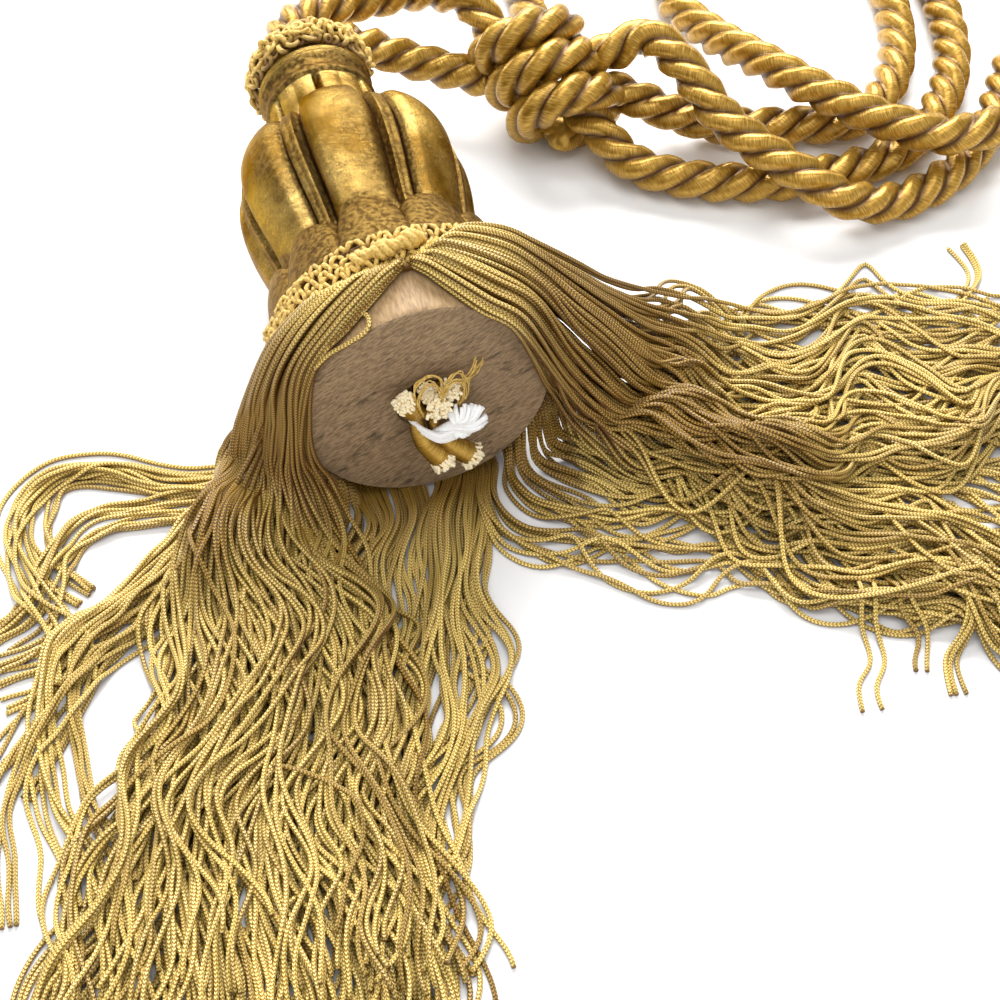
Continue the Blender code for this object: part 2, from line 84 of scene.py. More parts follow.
# The routes of the four stretches, as (x, y, height), or as (x, y) where the rope rests on the table
NECK_LEFT = ((-57.5, 412.5, 31), (-59, 417.5, 31), (-60.5, 428, 30.5), (-57.5, 439, 29), (-50, 448, 27),
             (-39, 454, 25), (-24, 455, 27.5), (-10, 447.5, 30.5), (-1.9, 439, 25.5))
NECK_RIGHT = ((-46, 415, 31), (-47.5, 420.3, 31), (-48, 429, 29), (-43, 436, 24.5), (-34, 439.5, 19),
              (-24, 439, 15.5), (-7.6, 433.5, 14.8), (-3, 432.5, 15.5))
LOOP_INNER = ((20, 429, 21), (32, 429.6, 26.9), (41.5, 429, 31.5), (51, 420, 28), (60, 407.5, 22),
              (70, 398.5, 18.6), (81, 390.5, 16), (94, 386.5, 10.5), (109, 391), (124, 401), (136, 417),
              (144, 434), (151, 452), (166, 470), (185, 488), (197, 511), (196, 537), (182, 557),
              (159, 563), (139, 553), (130, 531), (130, 506), (133, 481), (133, 454), (126, 431),
              (111, 411), (86, 400.5), (61, 398.5), (43, 402, 6.5), (34, 407, 8), (26.8, 415.1, 11.9),
              (20, 421, 15))
LOOP_OUTER = ((13, 437, 16), (11.7, 445.3, 12.4), (11, 458, 8.5), (8, 479), (4, 503), (12, 527),
              (33, 536), (51, 521), (51, 498, 6.5), (53, 476, 8), (62, 456, 12), (75, 437, 17),
              (90, 421, 18.6), (105, 410, 18.6), (120, 403.5, 18.6), (135, 407, 18.6), (149, 419, 16),
              (163, 434, 10.5), (180, 455), (201, 482), (214, 513), (213, 546), (195, 573), (164, 583),
              (134, 575), (115, 551), (111, 521), (117, 491), (118, 462), (112, 439), (100, 425),
              (82, 422.5), (64, 422.5), (48, 423.5, 10), (34.5, 425.7, 14.8), (24, 427, 17))


def with_rest(route, rest):
    """A route whose places all have their height."""
    return [(*place, rest)[:3] for place in route]


def between(before, first, second, after, share):
    """A Catmull-Rom curve's place between its two middle points."""
    square, cube = share * share, share * share * share
    return 0.5 * (
        2 * first
        + (second - before) * share
        + (2 * before - 5 * first + 4 * second - after) * square
        + (3 * first - before - 3 * second + after) * cube
    )


def reaches(runs):
    """How far along its run each place is."""
    steps = np.linalg.norm(np.diff(runs, axis=-2), axis=-1)
    return np.concatenate([np.zeros((*steps.shape[:-1], 1)), np.cumsum(steps, axis=-1)], axis=-1)


def spaced(run, count, length=math.inf):
    """Evenly spaced places along a run, or along its first stretch of a length."""
    reach = reaches(run)
    even = np.linspace(0, min(length, reach[-1]), count)
    return np.stack([np.interp(even, reach, run[:, k]) for k in range(3)], axis=1)


def smooth_run(points, step):
    """Places about a step apart along the smooth curve through some points."""
    points = np.asarray(points, dtype=float)
    spot = np.linspace(0, len(points) - 1, 60 * len(points))
    low = np.minimum(spot.astype(int), len(points) - 2)
    before = points[np.maximum(low - 1, 0)]
    after = points[np.minimum(low + 2, len(points) - 1)]
    fine = between(before, points[low], points[low + 1], after, (spot - low)[:, None])
    return spaced(fine, max(int(reaches(fine)[-1] / step), 2) + 1)


def headings(runs):
    """Which way each run points at each of its places."""
    ahead = np.gradient(runs, axis=-2)
    return ahead / np.linalg.norm(ahead, axis=-1, keepdims=True)


def carried_sides(runs):
    """Each run's heading, and a side and a top direction carried along it without twisting."""
    ahead = headings(runs)
    steady = np.where(np.abs(ahead[..., :1, 2:]) < 0.9, (0.0, 0.0, 1.0), (1.0, 0.0, 0.0))
    side = np.cross(ahead[..., 0, :], steady[..., 0, :])
    sides = np.zeros_like(runs)
    for k in range(runs.shape[-2]):
        side = side - (side * ahead[..., k, :]).sum(-1, keepdims=True) * ahead[..., k, :]
        side /= np.linalg.norm(side, axis=-1, keepdims=True)
        sides[..., k, :] = side
    return ahead, sides, np.cross(ahead, sides)


def new_piece(name, node, finish, places, faces, uv=None, slot=None, **tones):
    """A smooth-shaded piece in place of a plain node, from its places in table millimetres.

    Its slot argument is not used.
    """
    mesh = bpy.data.meshes.new(name)
    mesh.from_pydata(at(places).tolist(), [], faces)
    if uv is not None:
        mesh.uv_layers.new(name="UVMap").data.foreach_set("uv", np.asarray(uv, dtype=np.float32).ravel())
    for tone_name, tone in tones.items():
        shade = mesh.attributes.new(tone_name, "FLOAT", "POINT")
        shade.data.foreach_set("value", np.asarray(tone, dtype=np.float32))
    mesh.shade_smooth()
    mesh.materials.append(finish)
    piece = bpy.data.objects.new(name, mesh)
    bpy.context.collection.objects.link(piece)
    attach(piece, "root")
    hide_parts(node)
    return piece


def rope_outline():
    """Round the rope once: the angle and radius of each point, and its place across its own ply."""
    across = (np.arange(PLY_POINTS) + 0.5) / PLY_POINTS
    lean = (across - 0.5) * math.tau / 3
    inner = (PLY_THICK / 2) ** 2 - (PLY_OFFSET * np.sin(lean)) ** 2
    radius = PLY_OFFSET * np.cos(lean) + np.sqrt(np.maximum(inner, 0.2))
    angle = np.concatenate([lean + ply * math.tau / 3 for ply in range(3)])
    return angle, np.tile(radius, 3), np.tile(across, 3)


def laid_rope(run):
    """The surface of a three-ply rope along some places: its points, faces and corner coordinates."""
    _, side, top = carried_sides(run)
    reach = reaches(run)
    angle, radius, across = rope_outline()
    turned = angle - (reach / ROPE_LAY * math.tau)[:, None]
    fullness = 1 + 0.018 * np.sin(reach * 0.61) + 0.014 * np.sin(reach * 1.37 + 1)
    out = radius * fullness[:, None]
    points = run[:, None] + (out * np.cos(turned))[..., None] * side[:, None]
    points = points + (out * np.sin(turned))[..., None] * top[:, None]
    points[..., 2] = np.maximum(points[..., 2], TABLE_GAP)
    rings, count = points.shape[:2]
    faces, uv = [], []
    for k in range(rings - 1):
        for j in range(count):
            after = (j + 1) % count
            faces.append((k * count + j, k * count + after, (k + 1) * count + after, (k + 1) * count + j))
            near_edge = across[j] - 0.5 / PLY_POINTS
            far_edge = near_edge + 1 / PLY_POINTS
            start, end = reach[k:k + 2] + j // PLY_POINTS * PLY_SHIFT
            uv += [(u, v + THREAD_SLANT * u)
                   for u, v in ((near_edge, start), (far_edge, start), (far_edge, end), (near_edge, end))]
    faces += [tuple(range(count - 1, -1, -1)), tuple(range((rings - 1) * count, rings * count))]
    uv += [(0.5, 0.0)] * (2 * count)
    return points.reshape(-1, 3), faces, uv


def feed(node, sockets):
    """Set a node's sockets, or join them to what is worked out over the surface."""
    for key, value in sockets.items():
        if isinstance(value, bpy.types.NodeSocket):
            node.id_data.links.new(value, node.inputs[key])
        else:
            node.inputs[key].default_value = value


def new_finish(name, roughness, **sockets):
    """A material with the shader's own values set, a call that adds a node to it, and its shader."""
    material = bpy.data.materials.new(name)
    material.use_nodes = True
    shader = material.node_tree.nodes["Principled BSDF"]
    feed(shader, {"Roughness": roughness, **{key.replace("_", " "): value for key, value in sockets.items()}})

    def add(kind, inputs, **settings):
        node = material.node_tree.nodes.new(kind)
        for key, value in settings.items():
            setattr(node, key, value)
        feed(node, inputs)
        return node

    return material, add, shader


def colour_steps(add, factor, *steps):
    """A colour ramp through (place, colour) steps."""
    ramp = add("ShaderNodeValToRGB", {"Fac": factor})
    marks = ramp.color_ramp.elements
    while len(marks) < len(steps):
        marks.new(0.5)
    for mark, (place, colour) in zip(marks, steps):
        mark.position = place
        mark.color = (*colour, 1)
    return ramp.outputs["Color"]


def number(add, operation, first, second=0.0, third=0.0):
    """A sum worked out for every point of the surface."""
    return add("ShaderNodeMath", {0: first, 1: second, 2: third}, operation=operation).outputs[0]


def ranged(add, value, low, high, top=1.0):
    """A value as a share of the way from one level to another."""
    return add("ShaderNodeMapRange", {"Value": value, "From Min": low, "From Max": high,
                                      "To Max": top}).outputs["Result"]


def blended(add, factor, first, second):
    """One colour laid over another, which is a socket or red, green and blue."""
    second = (*second, 1) if isinstance(second, tuple) else second
    return add("ShaderNodeMix", {0: factor, 6: first, 7: second}, data_type="RGBA").outputs[2]


def mapped(add, place, **moves):
    """Places turned or scaled before a pattern is laid on them."""
    return add("ShaderNodeMapping", {"Vector": place, **moves}).outputs["Vector"]


def noise(add, place, scale, detail, roughness=0.5):
    """Soft random patches, small ones at a large scale."""
    return add("ShaderNodeTexNoise", {"Vector": place, "Scale": scale, "Detail": detail,
                                      "Roughness": roughness}).outputs["Fac"]


def relief(add, height, strength, depth):
    """Fine relief, too small for the mesh."""
    bump = add("ShaderNodeBump", {"Height": height, "Strength": strength, "Distance": depth})
    return bump.outputs["Normal"]


def surface_corner(add):
    """The place on the piece's own UV map."""
    return add("ShaderNodeUVMap", {}, uv_map="UVMap").outputs["UV"]


def rope_satin():
    """Satin of fine gold threads across each ply, with painted shade where two plies meet."""
    finish, add, shader = new_finish("rope_satin", 0.27, Metallic=0.5)
    corner = surface_corner(add)
    threads = noise(add, mapped(add, corner, Scale=(1.6, 3.4, 1)), 1.6, 3)
    across = add("ShaderNodeSeparateXYZ", {"Vector": corner}).outputs["X"]
    edge = number(add, "ABSOLUTE", number(add, "SUBTRACT", across, 0.5))
    colour = colour_steps(add, threads, (0.3, (0.19, 0.085, 0.008)), (0.5, (0.41, 0.225, 0.026)),
                          (0.7, (0.74, 0.49, 0.105)))
    broad = number(add, "MULTIPLY", noise(add, corner, 0.22, 2), 0.5)
    colour = blended(add, broad, colour, (0.42, 0.235, 0.03))
    # Painted shade along the grooves between the plies
    colour = blended(add, ranged(add, edge, 0.28, 0.48), colour, (0.07, 0.026, 0.003))
    feed(shader, {"Base Color": colour, "Normal": relief(add, threads, 0.32, 0.0003)})
    return finish


satin = rope_satin()
for name, route, length, exit_at in (
    ("rope_neck_left", NECK_LEFT, 0.097, (-59, 417.5, 31)),
    ("rope_neck_right", NECK_RIGHT, 0.068, (-47.5, 420.3, 31)),
    ("rope_loop_inner", LOOP_INNER, 0.61, (32, 429.6, 26.9)),
    ("rope_loop_outer", LOOP_OUTER, 0.81, (11.7, 445.3, 12.4)),
):
    middle_line = smooth_run(with_rest(route, ROPE_REST), ROPE_STEP)
    rope = new_piece(name + "_laid", name, satin, *laid_rope(middle_line))

# --- The wound knot ------------------------------------------------------------------------------
# The same rope wound three times round the four stretches that it gathers, each wrap laid beside the last and
# pulled tight, so its ends go in under the wraps.

KNOT_MIDDLE = np.array((13.0, 428.0, 18.6))
KNOT_AXIS = (0.5, -0.74, -0.45)
WRAP_RADIUS = 12.0
WRAPS = 3.3
WRAP_PITCH = 11.0
WRAP_START = math.radians(200)


def wound_line():
    """The middle line of the rope that the knot is wound from."""
    axis = np.array(Vector(KNOT_AXIS).normalized())
    side = np.array(Vector(axis).cross(Vector((0, 0, 1))).normalized())
    top = np.cross(side, axis)
    turns = np.linspace(0, WRAPS, 60)
    tuck = np.clip(np.minimum(turns, WRAPS - turns) / 0.3, 0, 1)
    radius = WRAP_RADIUS * (0.45 + 0.55 * tuck) * (1 - 0.12 * ((turns / WRAPS - 0.5) * 2) ** 2)
    angle = turns * math.tau + WRAP_START
    along = (turns - WRAPS / 2) * WRAP_PITCH * (0.8 + 0.2 * tuck)
    line = KNOT_MIDDLE + along[:, None] * axis
    return line + radius[:, None] * (np.cos(angle)[:, None] * side + np.sin(angle)[:, None] * top)


new_piece("rope_knot_wound", "rope_knot", satin, *laid_rope(smooth_run(wound_line(), ROPE_STEP)))

# --- The carved head -----------------------------------------------------------------------------
# A turned and carved head of soft wood: a plain drum at the sawn base, eleven petals, a bulb of seven lobes
# with raised ribs between them, a fluted neck and turned mouldings. It is gessoed, gilded and rubbed back.

FACE_MIDDLE = np.array((-16.9, 294.0, 31.2))
HEAD_TURN = math.radians(106.3)
ALONG = np.array((math.cos(HEAD_TURN), math.sin(HEAD_TURN), 0))
ACROSS = np.array((math.sin(HEAD_TURN), -math.cos(HEAD_TURN), 0))
UP = np.array((0.0, 0.0, 1.0))
HEAD_COLUMNS = 384
HEAD_ROWS = 228
LOBE_SPAN = 360 / 7
FIRST_RIB = -31.4
PETAL_SPAN = 360 / 11
FIRST_NOTCH = -24.2
PETAL_TIP = 41.5
PETAL_CUT = 6.2           # how much further down the petals' edge lies at a notch
UNDER_FULLNESS = 0.06
DRUM_TOP = 24.1
BULB_TOP = 91.0
BASE_RADIUS = 28.9
BORE_RADIUS = 7.5
BORE_DEPTH = 10.0
NECK_TOP_RADIUS = 13.0
ROPE_HOLE_RADIUS = 12.0
ROPE_HOLE_DEPTH = 6.0
# Along the head: place at a crest and at a groove; radius at a crest and at a groove; height of the rib. Rows
# that are round have just their place and their radius
HEAD_PROFILE = (
    (0.0, 29.3), (0.7, 30.0), (24.0, 30.0), (24.3, 24.3, 31.7, 31.2, 0.0),
    (28.5, 27.5, 31.1, 30.2, 0.0), (36.0, 32.0, 30.1, 28.4, 0.0), (41.2, 35.0, 28.7, 26.6, 0.0),
    (41.8, 35.8, 25.2, 24.2, 0.0), (46.0, 43.5, 25.9, 22.9, 1.3), (51.0, 50.0, 26.7, 23.5, 1.7),
    (58.0, 58.0, 28.2, 25.0, 1.9), (66.0, 66.0, 29.5, 26.2, 1.9), (74.0, 74.0, 29.8, 26.4, 1.9),
    (81.0, 80.5, 28.6, 25.2, 1.8), (86.0, 85.0, 26.0, 22.6, 1.4), (89.4, 88.2, 21.2, 18.2, 1.0),
    (91.2, 91.2, 15.0, 15.4, 0.0), (94.0, 14.2), (101.0, 14.5), (106.5, 14.2), (108.0, 15.2),
    (111.5, 14.2), (113.0, 14.9), (116.5, 15.3), (118.2, 14.4), (118.6, 13.0), (128.0, 13.0),
)
PETAL_ROWS = 8
BULB_ROWS = (8, 16)
NECK_LOW, NECK_HIGH = 93.0, 106.8
LINE_PLACES = (114.2, 116.0)
LOBE_START = 6.4          # degrees from the rib at which the lobe begins to swell
RIB_HALF = 4.5
RIB_EDGE = 1.5
GROOVE_BEFORE, GROOVE_AFTER = 6.1, 5.4


def on_head(along, turn, radius):
    """Places by distance from the sawn base, turn from straight up in degrees, and radius."""
    along, turn, radius = np.broadcast_arrays(along, np.radians(turn), radius)
    out = np.sin(turn)[..., None] * ACROSS + np.cos(turn)[..., None] * UP
    return FACE_MIDDLE + along[..., None] * ALONG + radius[..., None] * out


def past_rib(turn):
    """Degrees from the nearest rib, and how far round from the rib before."""
    ahead = np.mod(turn - FIRST_RIB, LOBE_SPAN)
    return np.minimum(ahead, LOBE_SPAN - ahead), ahead


def petal_fall(turn):
    """How far the petals' round outline falls back: 0 at a petal's middle and 1 at a notch."""
    off_middle = np.mod(turn - FIRST_NOTCH, PETAL_SPAN) / PETAL_SPAN * 2 - 1
    return 1 - np.sqrt(np.clip(1 - off_middle ** 2, 0, 1))


def ridge(offset, width):
    """1 on a line, and fading to nothing about two widths away."""
    return np.exp(-((offset / width) ** 2))


def eased(share):
    """A share from 0 to 1 that starts and ends gently."""
    share = np.clip(share, 0, 1)
    return share * share * (3 - 2 * share)


def carved_profile(turn):
    """Along and radius at each row of the head, for columns at some turns from straight up."""
    off, ahead = past_rib(turn)
    from_crest = np.clip((LOBE_SPAN / 2 - off) / (LOBE_SPAN / 2 - LOBE_START), 0, 1)
    edge = np.clip((from_crest - 0.62) / 0.38, 0, 1)
    lobe_depth = 0.34 * from_crest ** 2.2 + 0.66 * edge ** 1.7
    profile = np.array([row if len(row) > 2 else (row[0], *row, row[1], 0.0) for row in HEAD_PROFILE])
    level = np.arange(len(profile))[:, None]
    depth = np.where(level < PETAL_ROWS, petal_fall(turn), lobe_depth)
    along_crest, along_groove, crest, groove, rib_height = profile.T[:, :, None]
    along = along_crest + (along_groove - along_crest) * depth
    radius = crest + (groove - crest) * depth
    rib = eased((RIB_HALF - off) / RIB_EDGE) - 0.12 * ridge(off, 1.0)
    side_groove = ridge(ahead - GROOVE_BEFORE, 1.3) + 0.5 * ridge(LOBE_SPAN - ahead - GROOVE_AFTER, 0.8)
    radius = radius + rib_height * (rib - 0.65 * side_groove)
    fuller = UNDER_FULLNESS * eased((-np.cos(np.radians(turn)) - 0.2) / 0.6)
    radius = radius * (1 + fuller * ((level >= BULB_ROWS[0]) & (level <= BULB_ROWS[1])))

    jumps = np.hypot(np.diff(profile[:, 0]), np.diff(profile[:, 2])) + 0.25
    reach = np.r_[0, np.cumsum(jumps)]
    spot = np.interp(np.linspace(0, reach[-1], HEAD_ROWS), reach, np.arange(len(reach)))
    low = np.minimum(spot.astype(int), len(reach) - 2)
    share = (spot - low)[:, None]
    bulb = ((spot >= BULB_ROWS[0]) & (spot < BULB_ROWS[1]))[:, None]
    shaped = []
    for net in (along, radius):
        straight = net[low] + (net[low + 1] - net[low]) * share
        curved = between(net[np.maximum(low - 1, 0)], net[low], net[low + 1],
                         net[np.minimum(low + 2, len(net) - 1)], share)
        net = np.where(bulb, curved, straight)
        for _ in range(2):
            net[1:-1] = 0.25 * net[:-2] + 0.5 * net[1:-1] + 0.25 * net[2:]
        shaped.append(net)
    along, radius = shaped

    neck = np.clip((along - NECK_LOW) / 1.2, 0, 1) * np.clip((NECK_HIGH - along) / 1.2, 0, 1)
    middle = LOBE_SPAN / 2
    flute = 2.4 * ridge(middle - off, 2.6) + 0.5 * ((middle - off) / middle * 2 - 1) ** 2 - 0.4
    radius = radius - neck * flute
    for line in LINE_PLACES:
        radius = radius + 0.35 * ridge(along - line, 0.4)
    return along, radius


def values_of(parts, name):
    """Three numbers of every part of a mesh, such as its vertices' places."""
    values = np.zeros(len(parts) * 3)
    parts.foreach_get(name, values)
    return values.reshape(-1, 3)


bpy.ops.mesh.primitive_cylinder_add(vertices=HEAD_COLUMNS, radius=1, depth=1, end_fill_type="NGON")
head = bpy.context.object
head.name = "wood_head_gilt"
bpy.ops.object.mode_set(mode="EDIT")
bpy.ops.mesh.select_mode(type="EDGE")
bpy.ops.mesh.select_all(action="DESELECT")
bpy.ops.object.mode_set(mode="OBJECT")
for edge in head.data.edges:
    start, end = [head.data.vertices[k].co.z for k in edge.vertices]
    edge.select = abs(start - end) > 0.5
bpy.ops.object.mode_set(mode="EDIT")
bpy.ops.mesh.subdivide_edgering(number_cuts=HEAD_ROWS - 2, interpolation="LINEAR", smoothness=0)
bpy.ops.object.mode_set(mode="OBJECT")

blank = values_of(head.data.vertices, "co")
column = np.rint(np.arctan2(blank[:, 1], blank[:, 0]) / math.tau * HEAD_COLUMNS).astype(int) % HEAD_COLUMNS
row = np.rint((blank[:, 2] + 0.5) * (HEAD_ROWS - 1)).astype(int)
column_turn = np.arange(HEAD_COLUMNS) * 360 / HEAD_COLUMNS
carved_along, carved_radius = carved_profile(column_turn)
head_places = on_head(carved_along[row, column], column_turn[column], carved_radius[row, column])
head_places[:, 2] = np.maximum(head_places[:, 2], 0)
head.data.vertices.foreach_set("co", at(head_places).ravel())
head.data.update()


def sunk_end(way, rims, depth):
    """Inset the end face that points one way by each rim in turn, and push it in."""
    bpy.ops.object.mode_set(mode="OBJECT")
    for part in (head.data.vertices, head.data.edges, head.data.polygons):
        part.foreach_set("select", [False] * len(part))
    for face in head.data.polygons:
        face.select = len(face.vertices) > 20 and face.normal.dot(Vector(way)) > 0.7
    bpy.ops.object.mode_set(mode="EDIT")
    bpy.ops.mesh.select_mode(type="FACE")
    for rim in rims:
        bpy.ops.mesh.inset(thickness=rim * MM, depth=0)
    bpy.ops.mesh.extrude_region_move(TRANSFORM_OT_translate={"value": tuple(-way * depth * MM)})


sunk_end(-ALONG, (0.4, BASE_RADIUS - BORE_RADIUS), BORE_DEPTH)
sunk_end(ALONG, (NECK_TOP_RADIUS - ROPE_HOLE_RADIUS,), ROPE_HOLE_DEPTH)
bpy.ops.object.mode_set(mode="OBJECT")
head.data.shade_smooth()
head.data.set_sharp_from_angle(angle=math.radians(42))

# Turned bands round the head with old dirt in them: their first and last place along, and how dirty
DARK_BANDS = ((106.6, 113.9, 0.85), (114.6, 115.6, 0.5), (116.4, 118.6, 0.8), (87.6, 93, 0.95))

# How far the gilding is rubbed back or filled with old dirt, over the head, with painted shade on what faces
# down
head_places = values_of(head.data.vertices, "co") / MM + TASSEL_MIDDLE - FACE_MIDDLE
head_along = head_places @ ALONG
head_turn = np.degrees(np.arctan2(head_places @ ACROSS, head_places[:, 2]))
head_off, head_ahead = past_rib(head_turn)
past_petal = head_along - PETAL_TIP + PETAL_CUT * petal_fall(head_turn)
on_bulb = np.clip((past_petal - 0.3) / 0.6, 0, 1) * np.clip((BULB_TOP - head_along) / 3, 0, 1)
facing = values_of(head.data.vertex_normals, "vector")
bands = [depth * np.clip((head_along - low) / 0.3, 0, 1) * np.clip((high - head_along) / 0.3, 0, 1)
         for low, high, depth in DARK_BANDS]
grime_and_shade = np.max([
    *bands,
    0.32 * on_bulb * ridge((head_off / 4.9) ** 2, 1),                 # the ribs
    1.9 * on_bulb * ridge(head_ahead - 6.3, 1.6),                     # the grooves on both sides of them
    1.8 * on_bulb * ridge(LOBE_SPAN - head_ahead - 5.5, 1.2),
    1.5 * on_bulb * ridge(past_petal - 0.9, 1.1),                     # behind the petals
    0.9 * on_bulb * ridge(past_petal - 2.5, 2.0),
    0.9 * ridge(past_petal + 0.5, 0.9) * (past_petal < 0.3),          # the petals' rims and faces
    0.85 * (head_along > DRUM_TOP) * (past_petal < 0),
    0.28 * on_bulb * np.clip(1 - np.abs(head_ahead - LOBE_SPAN * 0.72) / 13, 0, 1),
    0.8 * np.clip((facing @ ALONG - 0.45) / 0.35, 0, 1),              # what faces away from the base or down
    # painted shade: the less a part faces up, the darker and less metallic it is
    0.4 * np.clip((0.35 - facing[:, 2]) / 0.6, 0, 1),
], axis=0)
wear_and_shade_layer = head.data.attributes.new("grime_and_shade", "FLOAT", "POINT")
wear_and_shade_layer.data.foreach_set("value", grime_and_shade.astype(np.float32))


def tone_of(add, name):
    """A tone that is kept on the mesh's points."""
    return add("ShaderNodeAttribute", {}, attribute_name=name).outputs["Fac"]


def object_place(add):
    return add("ShaderNodeTexCoord", {}).outputs["Object"]


def gilded_wood():
    """Old leaf over dark size, bright on the crests, darker where the leaf has come away and brown in the
    grooves, with painted shade on what faces down.
    """
    finish, add, shader = new_finish("gilded_wood", 0.3, Specular_IOR_Level=0.25,
                                     Specular_Tint=(0.8, 0.55, 0.24, 1))
    place = object_place(add)
    wear_and_shade = tone_of(add, "grime_and_shade")
    patches = noise(add, place, 150, 8, 0.7)
    specks = noise(add, place, 850, 5)
    rubbed_and_shaded = number(add, "MULTIPLY_ADD", patches, 1.3, wear_and_shade)
    rubbed_and_shaded = number(add, "MULTIPLY_ADD", specks, 0.6, rubbed_and_shaded)
    bare_and_shaded = ranged(add, rubbed_and_shaded, 0.9, 1.35)
    broad = noise(add, place, 60, 3)
    leaf = colour_steps(add, broad, (0.4, (0.12, 0.068, 0.016)), (0.6, (0.36, 0.245, 0.08)))
    # Dark colour where the leaf has come away, also used for the painted shade on what faces down
    dull_and_shaded = colour_steps(add, specks, (0.4, (0.05, 0.027, 0.006)), (0.6, (0.18, 0.11, 0.028)))
    colour = blended(add, bare_and_shaded, leaf, dull_and_shaded)
    colour = blended(add, ranged(add, rubbed_and_shaded, 1.9, 2.4), colour, (0.028, 0.013, 0.004))
    rough = number(add, "MULTIPLY_ADD", bare_and_shaded, 0.16, 0.12)
    strokes = noise(add, place, 300, 9, 0.75)
    height = number(add, "MULTIPLY_ADD", specks, number(add, "MULTIPLY", wear_and_shade, 0.6), strokes)
    feed(shader, {
        "Base Color": colour,
        "Metallic": number(add, "MULTIPLY_ADD", bare_and_shaded, -0.3, 1.0),
        "Roughness": number(add, "MULTIPLY_ADD", patches, 0.14, rough),
        "Normal": relief(add, height, 0.52, 0.0009),
    })
    return finish


def along_grain(add):
    """Places with the head's own length as their y."""
    return mapped(add, object_place(add), Rotation=(0, 0, math.pi / 2 - HEAD_TURN))


def sawn_wood():
    """The sawn end, dark and fuzzy with age."""
    finish, add, shader = new_finish("sawn_wood", 0.75)
    grain = mapped(add, along_grain(add), Rotation=(0, 0.5, 0))
    fibre = noise(add, mapped(add, grain, Scale=(520, 1700, 2300)), 1, 6, 0.7)
    stain = noise(add, mapped(add, grain, Scale=(95, 240, 300)), 1, 6, 0.7)
    shade = number(add, "MULTIPLY", noise(add, object_place(add), 55, 3), 0.45)
    colour = colour_steps(add, fibre, (0.4, (0.15, 0.092, 0.045)), (0.6, (0.4, 0.268, 0.145)))
    colour = blended(add, shade, colour, (0.26, 0.17, 0.09))
    colour = blended(add, ranged(add, stain, 0.57, 0.66, 0.8), colour, (0.05, 0.032, 0.016))
    feed(shader, {"Base Color": colour, "Normal": relief(add, fibre, 0.5, 0.0005)})
    return finish


def drum_wood():
    """The side of the drum, paler and finer than its sawn end."""
    finish, add, shader = new_finish("drum_wood", 0.6)
    fibre = noise(add, mapped(add, along_grain(add), Scale=(1600, 330, 1600)), 1, 4)
    colour = colour_steps(add, fibre, (0.3, (0.26, 0.158, 0.068)), (0.7, (0.5, 0.325, 0.155)))
    feed(shader, {"Base Color": colour, "Normal": relief(add, fibre, 0.3, 0.0003)})
    return finish


for finish in (gilded_wood(), sawn_wood(), drum_wood()):
    head.data.materials.append(finish)
for face in head.data.polygons:
    spot = (np.array(face.center) / MM + TASSEL_MIDDLE - FACE_MIDDLE) @ ALONG
    sawn = spot < 0.35 or len(face.vertices) > 20
    face.material_index = 1 if sawn else 2 if spot < DRUM_TOP else 0
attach(head, "root")
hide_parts("wood_head")

# --- The looped braid on the neck ----------------------------------------------------------------
# A narrow braid of curled yarn loops, sewn twice round the top of the neck to hide the last moulding.

# Each row: its place along the head, its radius and its count of loops
COLLAR_ROWS = ((119.8, 15.0, 40), (121.9, 16.0, 42), (124.2, 16.3, 42), (126.3, 15.2, 40))
COLLAR_LOOP = 1.2
COLLAR_YARN = 0.66

bpy.ops.mesh.primitive_torus_add(major_segments=9, minor_segments=5, major_radius=COLLAR_LOOP,
                                 minor_radius=COLLAR_YARN)
yarn_loop = bpy.context.object
loop_places = values_of(yarn_loop.data.vertices, "co")
loop_faces = [tuple(face.vertices) for face in yarn_loop.data.polygons]
bpy.data.objects.remove(yarn_loop)


def braid_yarn():
    """Matt twisted yarn of the braids, with painted shade where it lies low between the loops."""
    finish, add, shader = new_finish("gold_braid", 0.6)
    place = object_place(add)
    fluff = noise(add, place, 1400, 3)
    broad = number(add, "MULTIPLY", noise(add, place, 160, 2), 0.45)
    colour = colour_steps(add, fluff, (0.3, (0.4, 0.225, 0.035)), (0.7, (0.84, 0.6, 0.17)))
    colour = blended(add, broad, colour, (0.66, 0.42, 0.085))
    # Painted shade between the loops and rows: darker the less a point stands out from the head
    colour = blended(add, ranged(add, tone_of(add, "crest"), 0.75, 0), colour, (0.15, 0.065, 0.008))
    feed(shader, {"Base Color": colour, "Normal": relief(add, fluff, 0.8, 0.0004)})
    return finish


def stood_out(places, low, high):
    """How far places stand out from the head's axis, from 0 at one radius to 1 at another."""
    from_base = places - FACE_MIDDLE
    radius = np.linalg.norm(from_base - (from_base @ ALONG)[:, None] * ALONG, axis=1)
    return np.clip((radius - low) / (high - low), 0, 1)


def curled_loops(rng, rows):
    """Yarn loops in rows round the head, each leaning its own way: their points and faces."""
    points, faces = [], []
    for along, radius, count in rows:
        for k in range(count):
            turn = (k + rng.uniform(-0.3, 0.3)) * 360 / count
            spot = on_head(along + rng.uniform(-0.5, 0.5), turn, radius + rng.uniform(-0.3, 0.4))
            out = on_head(0, turn, 1) - FACE_MIDDLE
            face = Vector(out + rng.normal(0, 0.55, 3)).normalized()
            side = face.cross(Vector(ALONG + rng.normal(0, 0.6, 3))).normalized()
            swell = rng.uniform(0.8, 1.2)
            up = np.array(face.cross(side)) * rng.uniform(0.8, 1.4)
            faces += [tuple(index + len(points) * len(loop_places) for index in ring) for ring in loop_faces]
            points.append(loop_places @ (np.stack([side, up, face], axis=1) * swell).T + spot)
    return np.concatenate(points), faces


